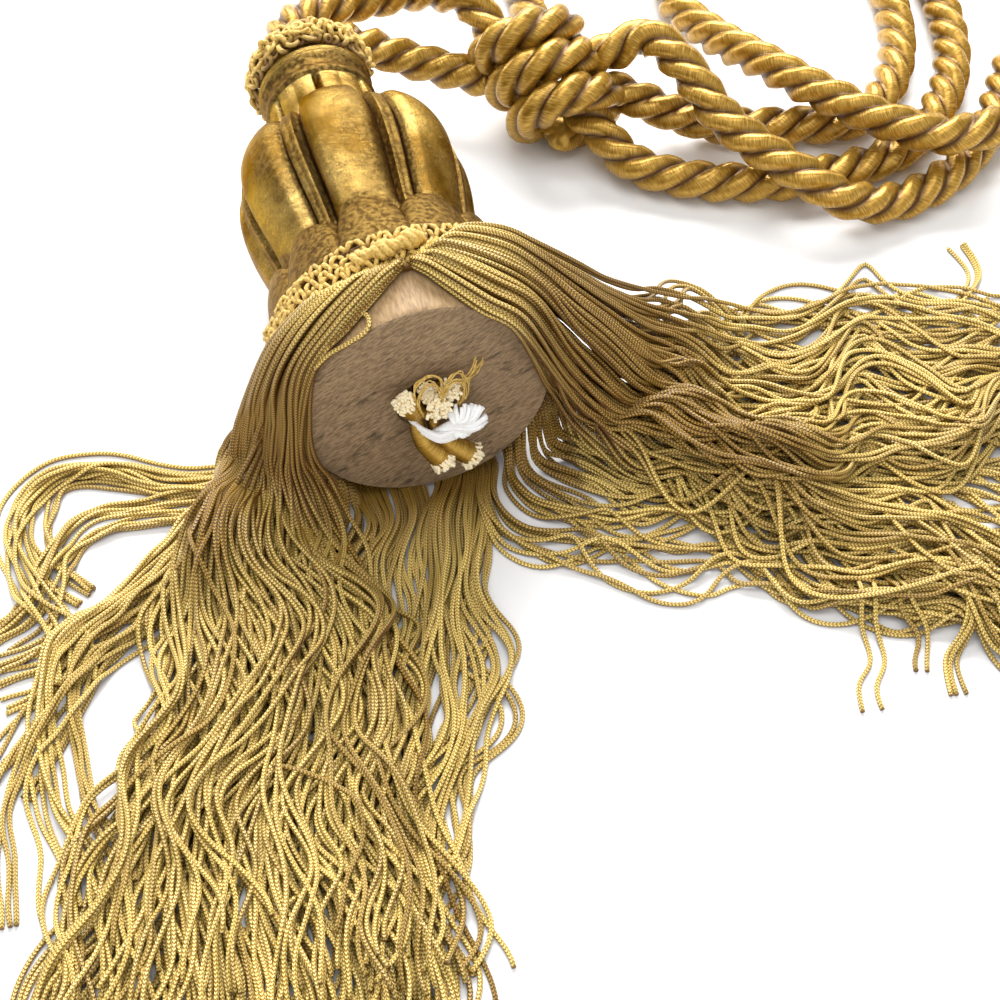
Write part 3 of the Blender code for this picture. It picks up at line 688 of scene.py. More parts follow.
braid = braid_yarn()
places, faces = curled_loops(np.random.default_rng(5), COLLAR_ROWS)
new_piece("neck_collar_loops", "neck_collar", braid, places, faces, crest=stood_out(places, 15.2, 17.4))

# --- The fringe header ---------------------------------------------------------------------------
# A crocheted band glued round the drum: a tape with rows of zig-zag yarn over it. Its two ends meet on top of
# the drum, where they are twisted together.

# Each row: its place along the head, its radius, how far it sways and its count of waves
HEADER_ROWS = ((13.4, 32.4, 0.9, 66), (15.3, 32.9, 1.1, 62), (17.2, 33.1, 1.15, 65), (19.1, 33.0, 1.15, 62),
               (21.0, 32.9, 1.2, 66), (22.9, 32.7, 1.3, 58))
HEADER_YARN = 0.64
WAVE_STEPS = 8
TAPE_SECTION = ((12.8, 30.3), (12.8, 31.9), (14.0, 32.3), (18.0, 32.5), (22.5, 32.3), (23.5, 31.8),
                (23.5, 30.3))
TAPE_COLUMNS = 120


def yarn_tubes(runs, radius, sides):
    """Round yarns along many runs of the same count: points, faces and corner coordinates."""
    _, side, top = carried_sides(runs)
    reach = reaches(runs)
    turn = np.arange(sides) * math.tau / sides
    thick = np.broadcast_to(radius, runs.shape[:2])[..., None, None]
    points = runs[:, :, None] + thick * (
        np.cos(turn)[:, None] * side[:, :, None] + np.sin(turn)[:, None] * top[:, :, None])
    points[..., 2] = np.maximum(points[..., 2], 0)
    count, steps = runs.shape[:2]
    ring = (np.arange(count)[:, None] * steps + np.arange(steps - 1))[..., None] * sides
    spot = np.arange(sides)
    after = (spot + 1) % sides
    corners = np.stack([ring + spot, ring + after, ring + sides + after, ring + sides + spot], axis=-1)
    faces = [tuple(face) for face in corners.reshape(-1, 4).tolist()]
    for start in range(0, count * steps * sides, steps * sides):
        faces += [tuple(range(start + sides - 1, start - 1, -1)),
                  tuple(range(start + (steps - 1) * sides, start + steps * sides))]
    u, v, w = np.broadcast_arrays(spot / sides, reach[:, :-1, None], reach[:, 1:, None])
    uv = np.stack([u, v, u + 1 / sides, v, u + 1 / sides, w, u, w], axis=-1).reshape(-1, 2)
    return points.reshape(-1, 3), faces, np.concatenate([uv, np.full((2 * count * sides, 2), 0.5)])


def header_row(rng, along, radius, sway, waves):
    """The line of one row of zig-zag yarn round the drum."""
    wave = np.arange(waves * WAVE_STEPS + 1) / WAVE_STEPS
    round_drum = wave / waves * math.tau
    wander = 0.3 * np.sin(round_drum * 7 + rng.uniform(0, 6))
    uneven = np.interp(wave, np.arange(waves + 1), rng.uniform(0.45, 1.5, waves + 1))
    lift = np.interp(wave, np.arange(waves + 1), rng.normal(0.1, 0.4, waves + 1))
    phase = wave * math.tau + 0.9 * np.sin(round_drum * 23 + rng.uniform(0, 6))
    line = on_head(along + sway * uneven * np.sin(phase) + wander, np.degrees(round_drum),
                   radius + lift + 0.5 * np.cos(2 * phase))
    line[:, 2] = np.maximum(line[:, 2], HEADER_YARN)
    return line


tape_turn = np.arange(TAPE_COLUMNS) * 360 / TAPE_COLUMNS
tape = np.stack([on_head(along, tape_turn, radius) for along, radius in TAPE_SECTION], axis=1)
tape[..., 2] = np.maximum(tape[..., 2], 0)
tape_wide = len(TAPE_SECTION)
tape_faces = []
for k in range(TAPE_COLUMNS):
    start, after = k * tape_wide, (k + 1) % TAPE_COLUMNS * tape_wide
    for j in range(tape_wide):
        beyond = (j + 1) % tape_wide
        tape_faces.append((start + j, start + beyond, after + beyond, after + j))
# The tape has no crest tone, so it takes the braid's painted shade colour all over: a dark backing for the
# shade under the rows
new_piece("header_tape", "fringe", braid, tape.reshape(-1, 3), tape_faces)

header_rng = np.random.default_rng(11)
for row_number, shape in enumerate(HEADER_ROWS, 1):
    places, faces, uv = yarn_tubes(header_row(header_rng, *shape)[None], HEADER_YARN, 5)
    new_piece(f"header_row_{row_number}", "fringe", braid, places, faces, uv,
              crest=stood_out(places, 32.3, 34.1))

# The header's two ends, twisted together where they meet
TWIST_LINE = ((17.3, -18, 33), (17.2, -13, 34.3), (16.6, -7, 34.6), (17.2, -1.5, 34.8), (18, 4, 34.6),
              (19.2, 9, 33.2))
TWIST_COIL = 1.7
TWIST_LAY = 4.6
TWIST_SWELL = 6.3
TWIST_STEP = 0.25
twist_line = smooth_run([on_head(*place) for place in TWIST_LINE], TWIST_STEP)
_, twist_side, twist_top = carried_sides(twist_line)
twist_round = np.arange(len(twist_line)) * TWIST_STEP * math.tau
twist_coil = (TWIST_COIL * (0.62 + 0.38 * np.sin(twist_round / TWIST_SWELL + 1)))[:, None]
twist_runs = []
for strand in range(3):
    angle = (twist_round / TWIST_LAY + strand * math.tau / 3)[:, None]
    twist_runs.append(twist_line + twist_coil * (np.cos(angle) * twist_side + np.sin(angle) * twist_top))
places, faces, uv = yarn_tubes(np.stack(twist_runs), 1.0, 7)
new_piece("header_twist", "fringe", braid, places, faces, uv, crest=stood_out(places, 32.6, 35.6))

# --- The skirt -----------------------------------------------------------------------------------
# Some five hundred and sixty knitted chainette strands, looped into the header's lower edge and cut to one
# length. They are parted on top of the drum and fall to both sides, the lower ones first.

STRAND_RADIUS = 0.58
STRAND_LENGTH = 205.0
STRAND_SPARE = 1.15 * STRAND_LENGTH
STRAND_PLACES = 100
STRAND_SIDES = 8
STITCH = 0.85
SETTLE_PART = 10          # how many of a strand's places are laid down at a time
PILE_CELL = 0.4
PILE_LOW = np.array((-150.0, 110.0))
PILE_SIZE = (830, 800)
PILE_TOP = 26.0
PACKING = 0.72            # how much of a strand's thickness the one above it is lifted by
BASE_CLEAR = 28.0
ROOT_RADIUS, EDGE_RADIUS = 32.8, 33.9
DRUM_CLEAR = 31.2         # how near the head's axis a strand may lie
LAYER_STEP = 0.85
CURL_REACH = 26.0
CUT_SPREAD = 5.0          # about how much longer or shorter than the others a strand is

# Each fan is spread between its guides, the first of them next to the parting. A guide has three places round
# the drum, as (along the head, turn, radius), and then seven on the way down and over the table, as (x, y,
# height), or as (x, y) where it lies at its fan's own height
OUTER_LEFT = (
    (((9, -12, 34.5), (3, -32, 33.8), (-0.5, -56, 33.4)),
     ((-45.5, 284, 29), (-43.5, 279, 14), (-37, 266), (-26, 240), (-14, 210), (-11, 172), (-10, 140))),
    (((11, -28, 35.5), (8, -50, 36), (5, -72, 37)),
     ((-55, 290, 26), (-56, 284, 11), (-56, 264), (-54, 240), (-53, 212), (-52, 170), (-52, 138))),
    (((13, -40, 36), (12.5, -62, 37.5), (11, -84, 40.5)),
     ((-63.5, 293, 21), (-66.5, 289, 9), (-69, 270), (-76, 250), (-82, 222), (-88, 182), (-92, 146))),
)
INNER_LEFT = (
    (((9, -12, 32.6), (3, -30, 32.4), (0, -54, 32)),
     ((-43.5, 285, 27), (-41, 279, 10), (-34, 264), (-24, 238), (-12, 210), (-8, 176), (-6, 140))),
    (((10, -30, 33), (7, -52, 33.5), (4, -74, 34)),
     ((-52, 288, 24), (-53, 281, 8), (-52, 262), (-50, 238), (-47, 210), (-42, 168), (-40, 138))),
    (((12, -48, 33.5), (11, -70, 34.5), (10, -92, 37)),
     ((-60, 293, 16), (-63, 287, 5), (-68, 268), (-76, 246), (-80, 218), (-84, 180), (-86, 144))),
)
LOW_LEFT = (
    (((8, -118, 32), (4, -122, 32.3), (0, -128, 33)),
     ((-44, 284, 2.5), (-53, 272), (-65, 252), (-76, 228), (-84, 202), (-90, 176), (-94, 144))),
    (((8, -146, 31.4), (4, -147, 31.6), (0, -148, 31.8)),
     ((-31, 279), (-37, 268), (-45, 248), (-51, 224), (-57, 196), (-62, 168), (-66, 138))),
    (((8, -177, 30.9), (4, -177, 30.9), (0, -177, 30.9)),
     ((-16.5, 284), (-18, 270), (-20, 250), (-23, 222), (-27, 192), (-31, 160), (-33, 136))),
)
LOW_MIDDLE = (
    (((8, 152, 30.9), (4, 152, 30.9), (0, 152, 30.9)),
     ((-3, 283), (-2, 268), (-2, 247), (-2, 228), (-5, 204), (-11, 176), (-16, 140))),
    (((8, 177, 30.9), (4, 177, 30.9), (0, 177, 30.9)),
     ((-17, 284), (-18, 270), (-21, 250), (-24, 222), (-27, 192), (-31, 160), (-28, 136))),
)
LOW_RIGHT = (
    (((12, 96, 33), (10, 103, 34.5), (8, 112, 37)),
     ((17, 307, 5), (24, 305.5), (35, 304), (47, 300), (62, 294), (84, 284), (134, 266))),
    (((10, 125, 32.2), (7, 126, 32.8), (4, 127, 33.6)),
     ((8, 301, 5), (16, 296.5), (28, 291), (44, 289), (62, 280), (90, 265), (138, 246))),
    (((8, 160, 31), (4, 160, 31), (0, 160, 31.2)),
     ((-6, 285), (0, 272), (14, 263.5), (33, 262), (52, 268), (74, 258), (122, 244))),
)
INNER_RIGHT = (
    (((9, 8, 32.6), (-2.5, 24, 32.4), (-6.5, 38, 32.4)),
     ((12, 299.5, 32), (18.5, 299, 18), (29, 296, 8), (46, 289), (66, 278), (92, 260), (130, 236))),
    (((14, 20, 33.5), (12.5, 40, 34), (11, 60, 34.5)),
     ((17, 311, 38), (27, 311.5, 24), (38, 309, 12), (53, 303, 3.5), (74, 296), (100, 286), (142, 278))),
    (((18, 26, 34.5), (20, 41, 36), (19.5, 58, 37)),
     ((17.5, 329, 38), (27, 334, 25), (39, 342, 13), (56, 349, 4), (76, 350), (100, 348), (146, 346))),
)
OUTER_RIGHT = (
    (((9, 7, 34.2), (-2.5, 24, 33.9), (-7, 38, 33.8)),
     ((14.5, 299.5, 33), (21.5, 299.5, 22), (31, 298, 12), (46, 293.5, 5.4), (66, 290), (90, 296),
      (134, 308))),
    (((16, 17, 36.2), (14, 39, 37), (12.8, 60, 37.5)),
     ((19.5, 311, 43), (30, 311.5, 31), (42, 311, 18), (56, 307, 7), (74, 303), (96, 312), (138, 326))),
    (((20.5, 24, 36.8), (22, 40, 38.4), (22, 56, 40)),
     ((18, 328, 44), (27, 333, 33), (39, 342, 20), (55, 352, 9), (74, 356), (98, 356), (146, 358))),
)

# Each fan: its name, its side, its roots' first and last turn and places along the head, its guides and their
# height on the table, layers, strands across a layer, length held straight, sway of its locks, how tangled it
# is and how much of it curls
FANS = (
    ("low_left", -1, (118, 177), (14.6, 14.6), LOW_LEFT, 1.1, 3, 20, 20, 3.6, 0.9, 0.1),
    ("low_middle", 1, (152, 177), (14.6, 14.6), LOW_MIDDLE, 1.1, 3, 13, 22, 3.0, 0.9, 0.1),
    ("low_right", 1, (95, 160), (14.6, 14.6), LOW_RIGHT, 1.1, 3, 15, 26, 4.0, 1.3, 0.15),
    ("inner_left", -1, (2, 75), (14.6, 14.6), INNER_LEFT, 3.2, 5, 18, 42, 4.4, 0.9, 0.1),
    ("inner_right", 1, (2, 75), (14.6, 14.6), INNER_RIGHT, 3.2, 5, 18, 50, 5.0, 1.4, 0.4),
    ("outer_left", -1, (1, 45), (14.6, 14.6), OUTER_LEFT, 5.2, 4, 19, 46, 5.0, 1.1, 0.15),
    ("outer_right", 1, (1, 15), (14.6, 19.5), OUTER_RIGHT, 5.2, 5, 19, 66, 5.5, 1.9, 0.6),
)

# Locks that curl away over the table on the left: their strands and their middle line
LOCKS = (
    (9, ((-65, 295), (-78, 295), (-93, 298), (-107, 297), (-113, 288), (-113, 276), (-107, 264),
     (-98, 258))),
    (9, ((-66, 288), (-82, 286), (-95, 282), (-103, 270), (-108, 255), (-114, 247))),
    (10, ((-65, 282), (-73, 270), (-85, 255), (-95, 247), (-108, 240), (-114, 237))),
    (9, ((-70, 270), (-81, 258), (-91, 244), (-98, 231), (-103, 220), (-108, 210))),
    (5, ((-67, 294), (-82, 294), (-97, 298), (-110, 293), (-114, 278), (-109, 263), (-100, 252),
     (-96, 235))),
    (11, ((-66, 285), (-76, 272), (-88, 258), (-98, 244), (-97, 226), (-92, 207), (-85, 191), (-82, 183))),
    (4, ((-66, 280), (-76, 258), (-88, 241), (-97, 226), (-102, 208), (-100, 191), (-97, 178))),
)

# Ends that have come out of the right swath: their strands and their middle line
TAILS = (
    (2, ((22, 303), (42, 297), (62, 288), (76, 279), (84, 266), (84, 252), (86, 243), (84, 236), (85, 230))),
    (2, ((20, 305), (44, 299), (66, 290), (84, 280), (90, 266), (92, 256), (97, 249), (97, 240))),
    (3, ((24, 301), (48, 293), (70, 282), (90, 272), (104, 262), (107, 252), (103, 243), (104, 234))),
    (3, ((24, 314), (46, 322), (74, 334), (98, 344), (114, 350), (122, 358), (126, 368), (123, 378))),
)


def across_fan(rows, share):
    """Places a share of the way across a fan, from the places that its guides have there."""
    rows = np.asarray(rows, dtype=float)
    spot = share * (len(rows) - 1)
    low = np.minimum(spot.astype(int), len(rows) - 2)
    return rows[low] + (rows[low + 1] - rows[low]) * (spot - low)[:, None]


def even_run(points, length, count):
    """A smooth run through some points, with a fixed count of even steps and at most a length."""
    return spaced(smooth_run(points, 0.7), count, length)


def fan_runs(rng, side, turns, rooted, fan, rest, layers, wide):
    """The routes of a fan's strands before they settle on each other, from its lowest layer up."""
    count = layers * wide
    layer = np.arange(count) // wide
    place = np.arange(count) % wide
    share = np.clip((place + 0.25 + 0.5 * (layer % 2) + rng.normal(0, 0.15, count)) / wide, 0, 1)
    sunk = (layers - 1 - layer) * LAYER_STEP
    root_turn = side * (turns[0] + (turns[1] - turns[0]) * share)
    root_along = rooted[0] + (rooted[1] - rooted[0]) * share
    roots = on_head(root_along, root_turn, np.maximum(ROOT_RADIUS - sunk, 31))
    edge = on_head(root_along - 2.2, root_turn + side * 1.5, np.maximum(EDGE_RADIUS - sunk, DRUM_CLEAR))
    crowds = rng.uniform(4, 6)
    crowded = share * math.tau * crowds + rng.uniform(0, math.tau) + rng.normal(0, 0.7, layers)[layer]
    wander = rng.normal(0, 0.035, count)
    lift = rng.normal(0, 0.35, count)
    bunched = [np.clip(share + grow * (wander + 0.6 * np.sin(crowded) / (math.tau * crowds)), 0, 1)
               for grow in (0.4, 0.7, 0.9, 1, 1.1, 1.2, 1.3, 1.4, 1.5, 1.6)]
    wrapped = []
    for rows, beside in zip(zip(*[guide[0] for guide in fan]), bunched):
        spot = across_fan(rows, beside)
        raised = spot[:, 2] - sunk - 0.6 * np.cos(crowded) + lift
        least = np.minimum(spot[:, 2], DRUM_CLEAR)
        wrapped.append(on_head(spot[:, 0], spot[:, 1], np.maximum(raised, least)))
    on_table = zip(*[with_rest(guide[1], rest) for guide in fan])
    laid = [across_fan(rows, beside) for rows, beside in zip(on_table, bunched[3:])]
    for places in laid:
        in_air = np.clip((places[:, 2] - 5) / 6, 0, 1)
        places[:, 2] += in_air * (lift - 0.6 * np.cos(crowded) - 1.2 * sunk)
    routes = np.stack([roots, edge, *wrapped, *laid], axis=1)
    return np.stack([even_run(route, STRAND_SPARE, STRAND_PLACES) for route in routes])


def in_locks(rng, runs, wide, held, sway, tangle, curling):
    """Strands swung sideways: waves that a whole fan shares, locks of a few strands, and their own ways."""
    count, steps = runs.shape[:2]
    reach = np.linspace(0, STRAND_SPARE, steps)
    ahead = headings(runs)
    level = np.cross(ahead, (0.0, 0.0, 1.0))
    level /= np.maximum(np.linalg.norm(level, axis=-1, keepdims=True), 0.3)
    share = (np.arange(count) % wide) / wide
    layer = np.arange(count) // wide
    lock = np.cumsum(rng.random(count) < 0.26)
    locks = lock[-1] + 1
    swing = np.zeros((count, steps))
    for wave, part in ((120, 0.9), (64, 0.6), (37, 0.22)):
        angle = rng.uniform(0, math.tau) + rng.normal(0, 0.9, layer[-1] + 1)[layer]
        angle = angle + share * rng.uniform(-5, 5)
        swing += sway * part * np.sin(reach / wave * math.tau + angle[:, None])
        strength = rng.normal(0, 0.5 * sway * part, locks)
        angle = rng.uniform(0, math.tau, locks)
        swing += strength[lock, None] * np.sin(reach / wave * math.tau * 1.1 + angle[lock, None])
    for wave, part in ((95, 1.1), (48, 0.5), (24, 0.14)):
        length = rng.uniform(0.8, 1.3, (count, 1)) * wave
        strength = rng.gamma(0.9, 1.0, (count, 1)) * part * tangle
        swing += strength * np.sin(reach / length * math.tau + rng.uniform(0, math.tau, (count, 1)))
    free = np.clip((reach - held) / 60, 0, 1) ** 1.2
    swung = runs + (free * swing)[..., None] * level
    curl = rng.uniform(5.0, 9.0, locks) * (rng.random(locks) < curling)
    middle = rng.uniform(held + 55, 185, locks)
    around = np.exp(-((reach - middle[lock, None]) / CURL_REACH) ** 2)
    angle = reach / rng.uniform(36, 58, locks)[lock, None] * math.tau
    angle = angle * np.sign(rng.normal(size=locks))[lock, None]
    out = (curl[lock] + rng.normal(0, 0.5, count))[:, None] * around * (curl[lock] > 0)[:, None]
    flat = ahead * (1, 1, 0)
    return swung + (out * np.sin(angle))[..., None] * level + (0.45 * out * np.cos(angle))[..., None] * flat


def cut_ends(rng, runs):
    """The strands cut to their length, each a little long or short."""
    return np.stack([even_run(run, rng.normal(STRAND_LENGTH, CUT_SPREAD), STRAND_PLACES) for run in runs])


def lock_runs(rng, count, line, side):
    """The routes of a curled lock's strands, from one side of the drum along the lock's middle line."""
    turn = side * rng.uniform(88, 118, count)
    start = [on_head(14.4, turn, 32.6), on_head(10.0, turn, 34), on_head(7.0, turn + side * 8, 39)]
    drift = rng.normal(0, 3.0, count)
    ahead = np.gradient(np.asarray(line, dtype=float), axis=0)
    across = np.stack([ahead[:, 1], -ahead[:, 0]], axis=1) / np.linalg.norm(ahead, axis=1)[:, None]
    runs = []
    for k in range(count):
        offset = (k - (count - 1) / 2) * 1.2 + rng.normal(0, 0.4) + np.linspace(0, drift[k], len(line))
        laid = np.asarray(line) + across * offset[:, None]
        laid = np.c_[laid, np.full(len(laid), 1.0)]
        runs.append(even_run([part[k] for part in start] + list(laid), STRAND_LENGTH, STRAND_PLACES))
    return np.stack(runs)


pile = np.zeros(PILE_SIZE)
near = [(i, j) for i in range(-1, 2) for j in range(-1, 2)]


def pile_cells(places):
    """The pile's cells under some places."""
    cells = np.rint((places[:, :2] - PILE_LOW) / PILE_CELL).astype(int)
    return np.clip(cells, 1, np.array(PILE_SIZE) - 2).T


def heap_up(places):
    """Add some places of a strand to the pile."""
    low = places[places[:, 2] < PILE_TOP]
    x, y = pile_cells(low)
    for i, j in near:
        rise = math.sqrt(max(STRAND_RADIUS ** 2 - (i * i + j * j) * PILE_CELL ** 2, 0))
        np.maximum.at(pile, (x + i, y + j), low[:, 2] + rise * PACKING)


def finer(run):
    """A strand's places and three more between each two."""
    fine = np.linspace(0, len(run) - 1, 4 * len(run))
    return np.stack([np.interp(fine, np.arange(len(run)), run[:, k]) for k in range(3)], axis=1)


def settle(run):
    """Lay one strand down on what is there already and on its own curls, and add it to the pile."""
    guide = run[:, 2].copy()
    floor = np.clip((11 - guide) / 6, 0, 1)
    guide = guide - floor * np.maximum(np.minimum(guide, 5.2) - STRAND_RADIUS, 0)
    ahead_of_base = (FACE_MIDDLE - run) @ ALONG
    beside = np.abs((run - FACE_MIDDLE) @ ACROSS)
    room = 1.1 + 0.3 * np.maximum(ahead_of_base, 0) + 0.7 * np.maximum(beside - BASE_CLEAR, 0)
    loose = np.clip((21 - run[:, 2]) / 8, 0, 1)
    height = run[:, 2].copy()
    for start in range(0, len(run), SETTLE_PART):
        part = slice(start, start + SETTLE_PART)
        under = pile[tuple(pile_cells(run[part]))] + PACKING * STRAND_RADIUS
        lifted = np.maximum(guide[part], np.minimum(under, room[part]))
        height[part] += loose[part] * (lifted - height[part])
        if start > 0:
            before = slice(start - SETTLE_PART, start)
            heap_up(finer(np.c_[run[before, :2], height[before]]))
    smooth = np.maximum(height, np.maximum(np.r_[height[1:], height[-1]], np.r_[height[0], height[:-1]]))
    for _ in range(4):
        smooth = np.r_[smooth[0], 0.25 * smooth[:-2] + 0.5 * smooth[1:-1] + 0.25 * smooth[2:], smooth[-1]]
    run[:, 2] += loose * (np.maximum(smooth, STRAND_RADIUS) - run[:, 2])
    heap_up(finer(run))
    return run


def chainette():
    """Knitted chainette: columns of small V stitches, with painted highlights on their backs and painted
    shade between them.
    """
    finish, add, shader = new_finish("gold_silk", 0.33, Specular_IOR_Level=0.55)
    corner = add("ShaderNodeSeparateXYZ", {"Vector": surface_corner(add)})
    wale = number(add, "FRACT", number(add, "MULTIPLY", corner.outputs["X"], 4.0))
    off = number(add, "ABSOLUTE", number(add, "SUBTRACT", wale, 0.5))
    vee = number(add, "MULTIPLY", off, 7.0)
    phase = number(add, "MULTIPLY_ADD", corner.outputs["Y"], math.tau / STITCH, vee)
    stitch = number(add, "MULTIPLY_ADD", number(add, "SINE", phase), 0.5, 0.5)
    height = number(add, "MULTIPLY", stitch, number(add, "SUBTRACT", 1.0, ranged(add, off, 0.36, 0.5)))
    # Painted highlights on the stitches' backs and painted shade in the hollows between them
    bright = colour_steps(add, height, (0.0, (0.26, 0.12, 0.012)), (0.3, (0.72, 0.43, 0.052)),
                          (0.65, (0.98, 0.72, 0.16)), (1.0, (1.0, 0.92, 0.42)))
    dull_and_shaded = colour_steps(add, height, (0.0, (0.07, 0.026, 0.003)), (0.3, (0.19, 0.088, 0.008)),
                        (0.75, (0.37, 0.205, 0.022)), (1.0, (0.58, 0.37, 0.065)))
    # The dark copy goes where the tone is low: strands darker at random, and painted shade on strands beside
    # and under the drum
    colour = blended(add, tone_of(add, "tone"), dull_and_shaded, bright)
    # Painted shade on the strands' undersides and in the gaps between them
    colour = blended(add, ranged(add, tone_of(add, "crest"), 0.4, -0.5), colour, (0.12, 0.045, 0.004))
    feed(shader, {"Base Color": colour, "Normal": relief(add, height, 0.6, 0.0003)})
    return finish


def crests(runs, places):
    """How near each point of a strand is to its outward side: 1 on its back, -1 underneath."""
    out = places.reshape(*runs.shape[:2], STRAND_SIDES, 3) - runs[:, :, None]
    from_axis = runs - FACE_MIDDLE
    from_axis = from_axis - (from_axis @ ALONG)[..., None] * ALONG
    from_axis[..., 2] = np.maximum(from_axis[..., 2], 0)
    reach_out = np.linalg.norm(from_axis, axis=-1, keepdims=True)
    from_axis /= np.maximum(reach_out, 1)
    on_table = np.clip(np.maximum((16 - runs[..., 2:]) / 10, (reach_out - 40) / 10), 0, 1)
    back = from_axis * (1 - on_table) + UP * on_table
    ahead = headings(runs)
    back = back - (back * ahead).sum(-1, keepdims=True) * ahead
    back /= np.maximum(np.linalg.norm(back, axis=-1, keepdims=True), 0.05)
    return (out * back[:, :, None]).sum(-1) / STRAND_RADIUS


silk = chainette()
skirt_rng = np.random.default_rng(23)
skirt = []
for fan_name, side, turns, rooted, fan, rest, layers, wide, *loose in FANS:
    runs = fan_runs(skirt_rng, side, turns, rooted, fan, rest, layers, wide)
    runs = in_locks(skirt_rng, runs, wide, *loose)
    skirt.append((fan_name, cut_ends(skirt_rng, runs)))
for fan_name, locks, side in (("locks_left", LOCKS, -1), ("tails_right", TAILS, 1)):
    curled = np.concatenate([lock_runs(skirt_rng, count, line, side) for count, line in locks])
    curled = in_locks(skirt_rng, curled, len(curled), 50, 0.8, 0.6, 0.0)
    skirt.insert(3, (fan_name, cut_ends(skirt_rng, curled)))
for fan_name, runs in skirt:
    count = len(runs)
    for k in range(count):
        runs[k] = settle(runs[k])
    places, faces, uv = yarn_tubes(runs, STRAND_RADIUS, STRAND_SIDES)
    lock_tone = 0.8 + 0.15 * np.sin(np.arange(count) / count * 30)
    strand_tone = np.clip(lock_tone + skirt_rng.normal(0, 0.25, count), 0, 1)
    # Painted shade carried in the tone: strands on the drum's sides and under the sawn base are darker
    painted_drum_shade = np.interp(runs[..., 2], (7, 17, 50, 63), (1, 0.0, 0.12, 1))
    under_drum = (runs[..., 2] < 12) & (np.abs((runs - FACE_MIDDLE) @ ACROSS) < 36)
    ahead_of_base = np.where(under_drum, (FACE_MIDDLE - runs) @ ALONG, 30)
    painted_drum_shade = np.minimum(painted_drum_shade, np.interp(ahead_of_base, (6, 26), (0.05, 1)))
    tone = np.repeat((strand_tone[:, None] * painted_drum_shade).ravel(), STRAND_SIDES)
    new_piece("skirt_" + fan_name, "fringe", silk, places, faces, uv, tone=tone,
              crest=crests(runs, places).ravel())

# One strand that has sprung back over the drum's edge
STRAY_LINE = ((9, -22, 33.5), (6.3, -26, 31.5), (3.4, -22.5, 31.2), (0.6, -22.6, 31.2), (-0.9, -26, 30.9),
              (-0.9, -34, 30.9), (-0.3, -43, 31.4), (-0.2, -52, 31.6))
stray_run = smooth_run([on_head(*place) for place in STRAY_LINE], 0.6)[None]
places, faces, uv = yarn_tubes(stray_run, STRAND_RADIUS, STRAND_SIDES)
new_piece("skirt_stray", "fringe", silk, places, faces, uv, tone=np.full(len(places), 0.6),
          crest=crests(stray_run, places).ravel())

# --- The cut plies on the sawn base --------------------------------------------------------------
# The six plies of the two rope ends come through the bore and are cut short. Each is a satin of gold threads
# over a cotton core, which has fluffed out past the cut.

PLY_RADIUS = 2.6
COTTON_YARN = 0.42
COTTON_COUNT = 110
PLY_STEP = 0.4
THREAD_PITCH = 1.1

# Each ply: its name, then its line and thickness as (right of the bore, above it, out from the base, share)
PLIES = (
    ("ply_end_1", ((0, 0, -3, 0.8), (-1.6, 0.6, 1.5, 0.9), (-3.9, 2.9, 4.0, 1.0), (-6.4, 7.0, 5.0, 1.0))),
    ("ply_end_2", ((-0.5, 2, -4, 0.8), (-1.0, 4.2, 0.5, 0.85), (-0.9, 6.4, 2.6, 0.85),
                   (-0.7, 7.8, 4.0, 0.8))),
    ("ply_end_3", ((0.5, 0, -4, 0.8), (0.6, 2.6, 1.5, 0.9), (0.8, 4.4, 4.6, 0.95), (0.9, 5.6, 7.4, 0.95))),
    ("ply_end_4", ((1.5, 1, -4, 0.8), (3.4, 4.0, 0.5, 0.85), (4.3, 6.0, 3.0, 0.85), (4.6, 7.4, 4.6, 0.8))),
    ("ply_end_5", ((-1.0, 0, -3, 0.7), (-3.4, -1.6, 3.0, 0.62), (-2.6, -6.4, 5.6, 0.9),
                   (1.6, -12.6, 7.0, 1.12))),
    ("ply_end_6", ((1.5, -1, -3, 0.7), (0.6, -3.6, 4.0, 0.6), (3.4, -8.6, 5.8, 0.9),
                   (8.6, -14.0, 6.4, 1.1))),
)


def fluffy_yarn(name, roughness, scale, detail, dark, light, strength):
    """Soft matt cotton or wool, slightly darker between its fibres."""
    finish, add, shader = new_finish(name, roughness)
    fluff = noise(add, object_place(add), scale, detail)
    feed(shader, {"Base Color": colour_steps(add, fluff, (0.3, dark), (0.7, light)),
                  "Normal": relief(add, fluff, strength, 0.0003)})
    return finish


def on_base(places):
    """Places by distance to the right of the bore, above it, and out from the sawn base."""
    places = np.asarray(places, dtype=float)
    return FACE_MIDDLE + places @ np.stack([ACROSS, UP, -ALONG])


def cotton_tuft(rng, end, ahead, side, top, thick, length, splay):
    """Short cotton yarns standing out of a ply's cut end, splayed at its rim."""
    count = COTTON_COUNT
    spread = np.sqrt(rng.random(count)) * 0.92
    angle = rng.uniform(0, math.tau, count)
    out = np.cos(angle)[:, None] * side + np.sin(angle)[:, None] * top
    start = end + out * (spread * thick)[:, None] - ahead * 1.2
    lean = ahead + out * (spread ** 2 * splay)[:, None] + rng.normal(0, 0.16, (count, 3))
    lean /= np.linalg.norm(lean, axis=1)[:, None]
    bend = rng.normal(0, 0.3, (count, 3))
    reach = (1.2 + length * rng.uniform(0.55, 1.0, count) * (1 - 0.35 * spread ** 3))[:, None, None]
    steps = np.linspace(0, 1, 6)[None, :, None]
    return start[:, None] + reach * steps * lean[:, None] + bend[:, None] * steps ** 2


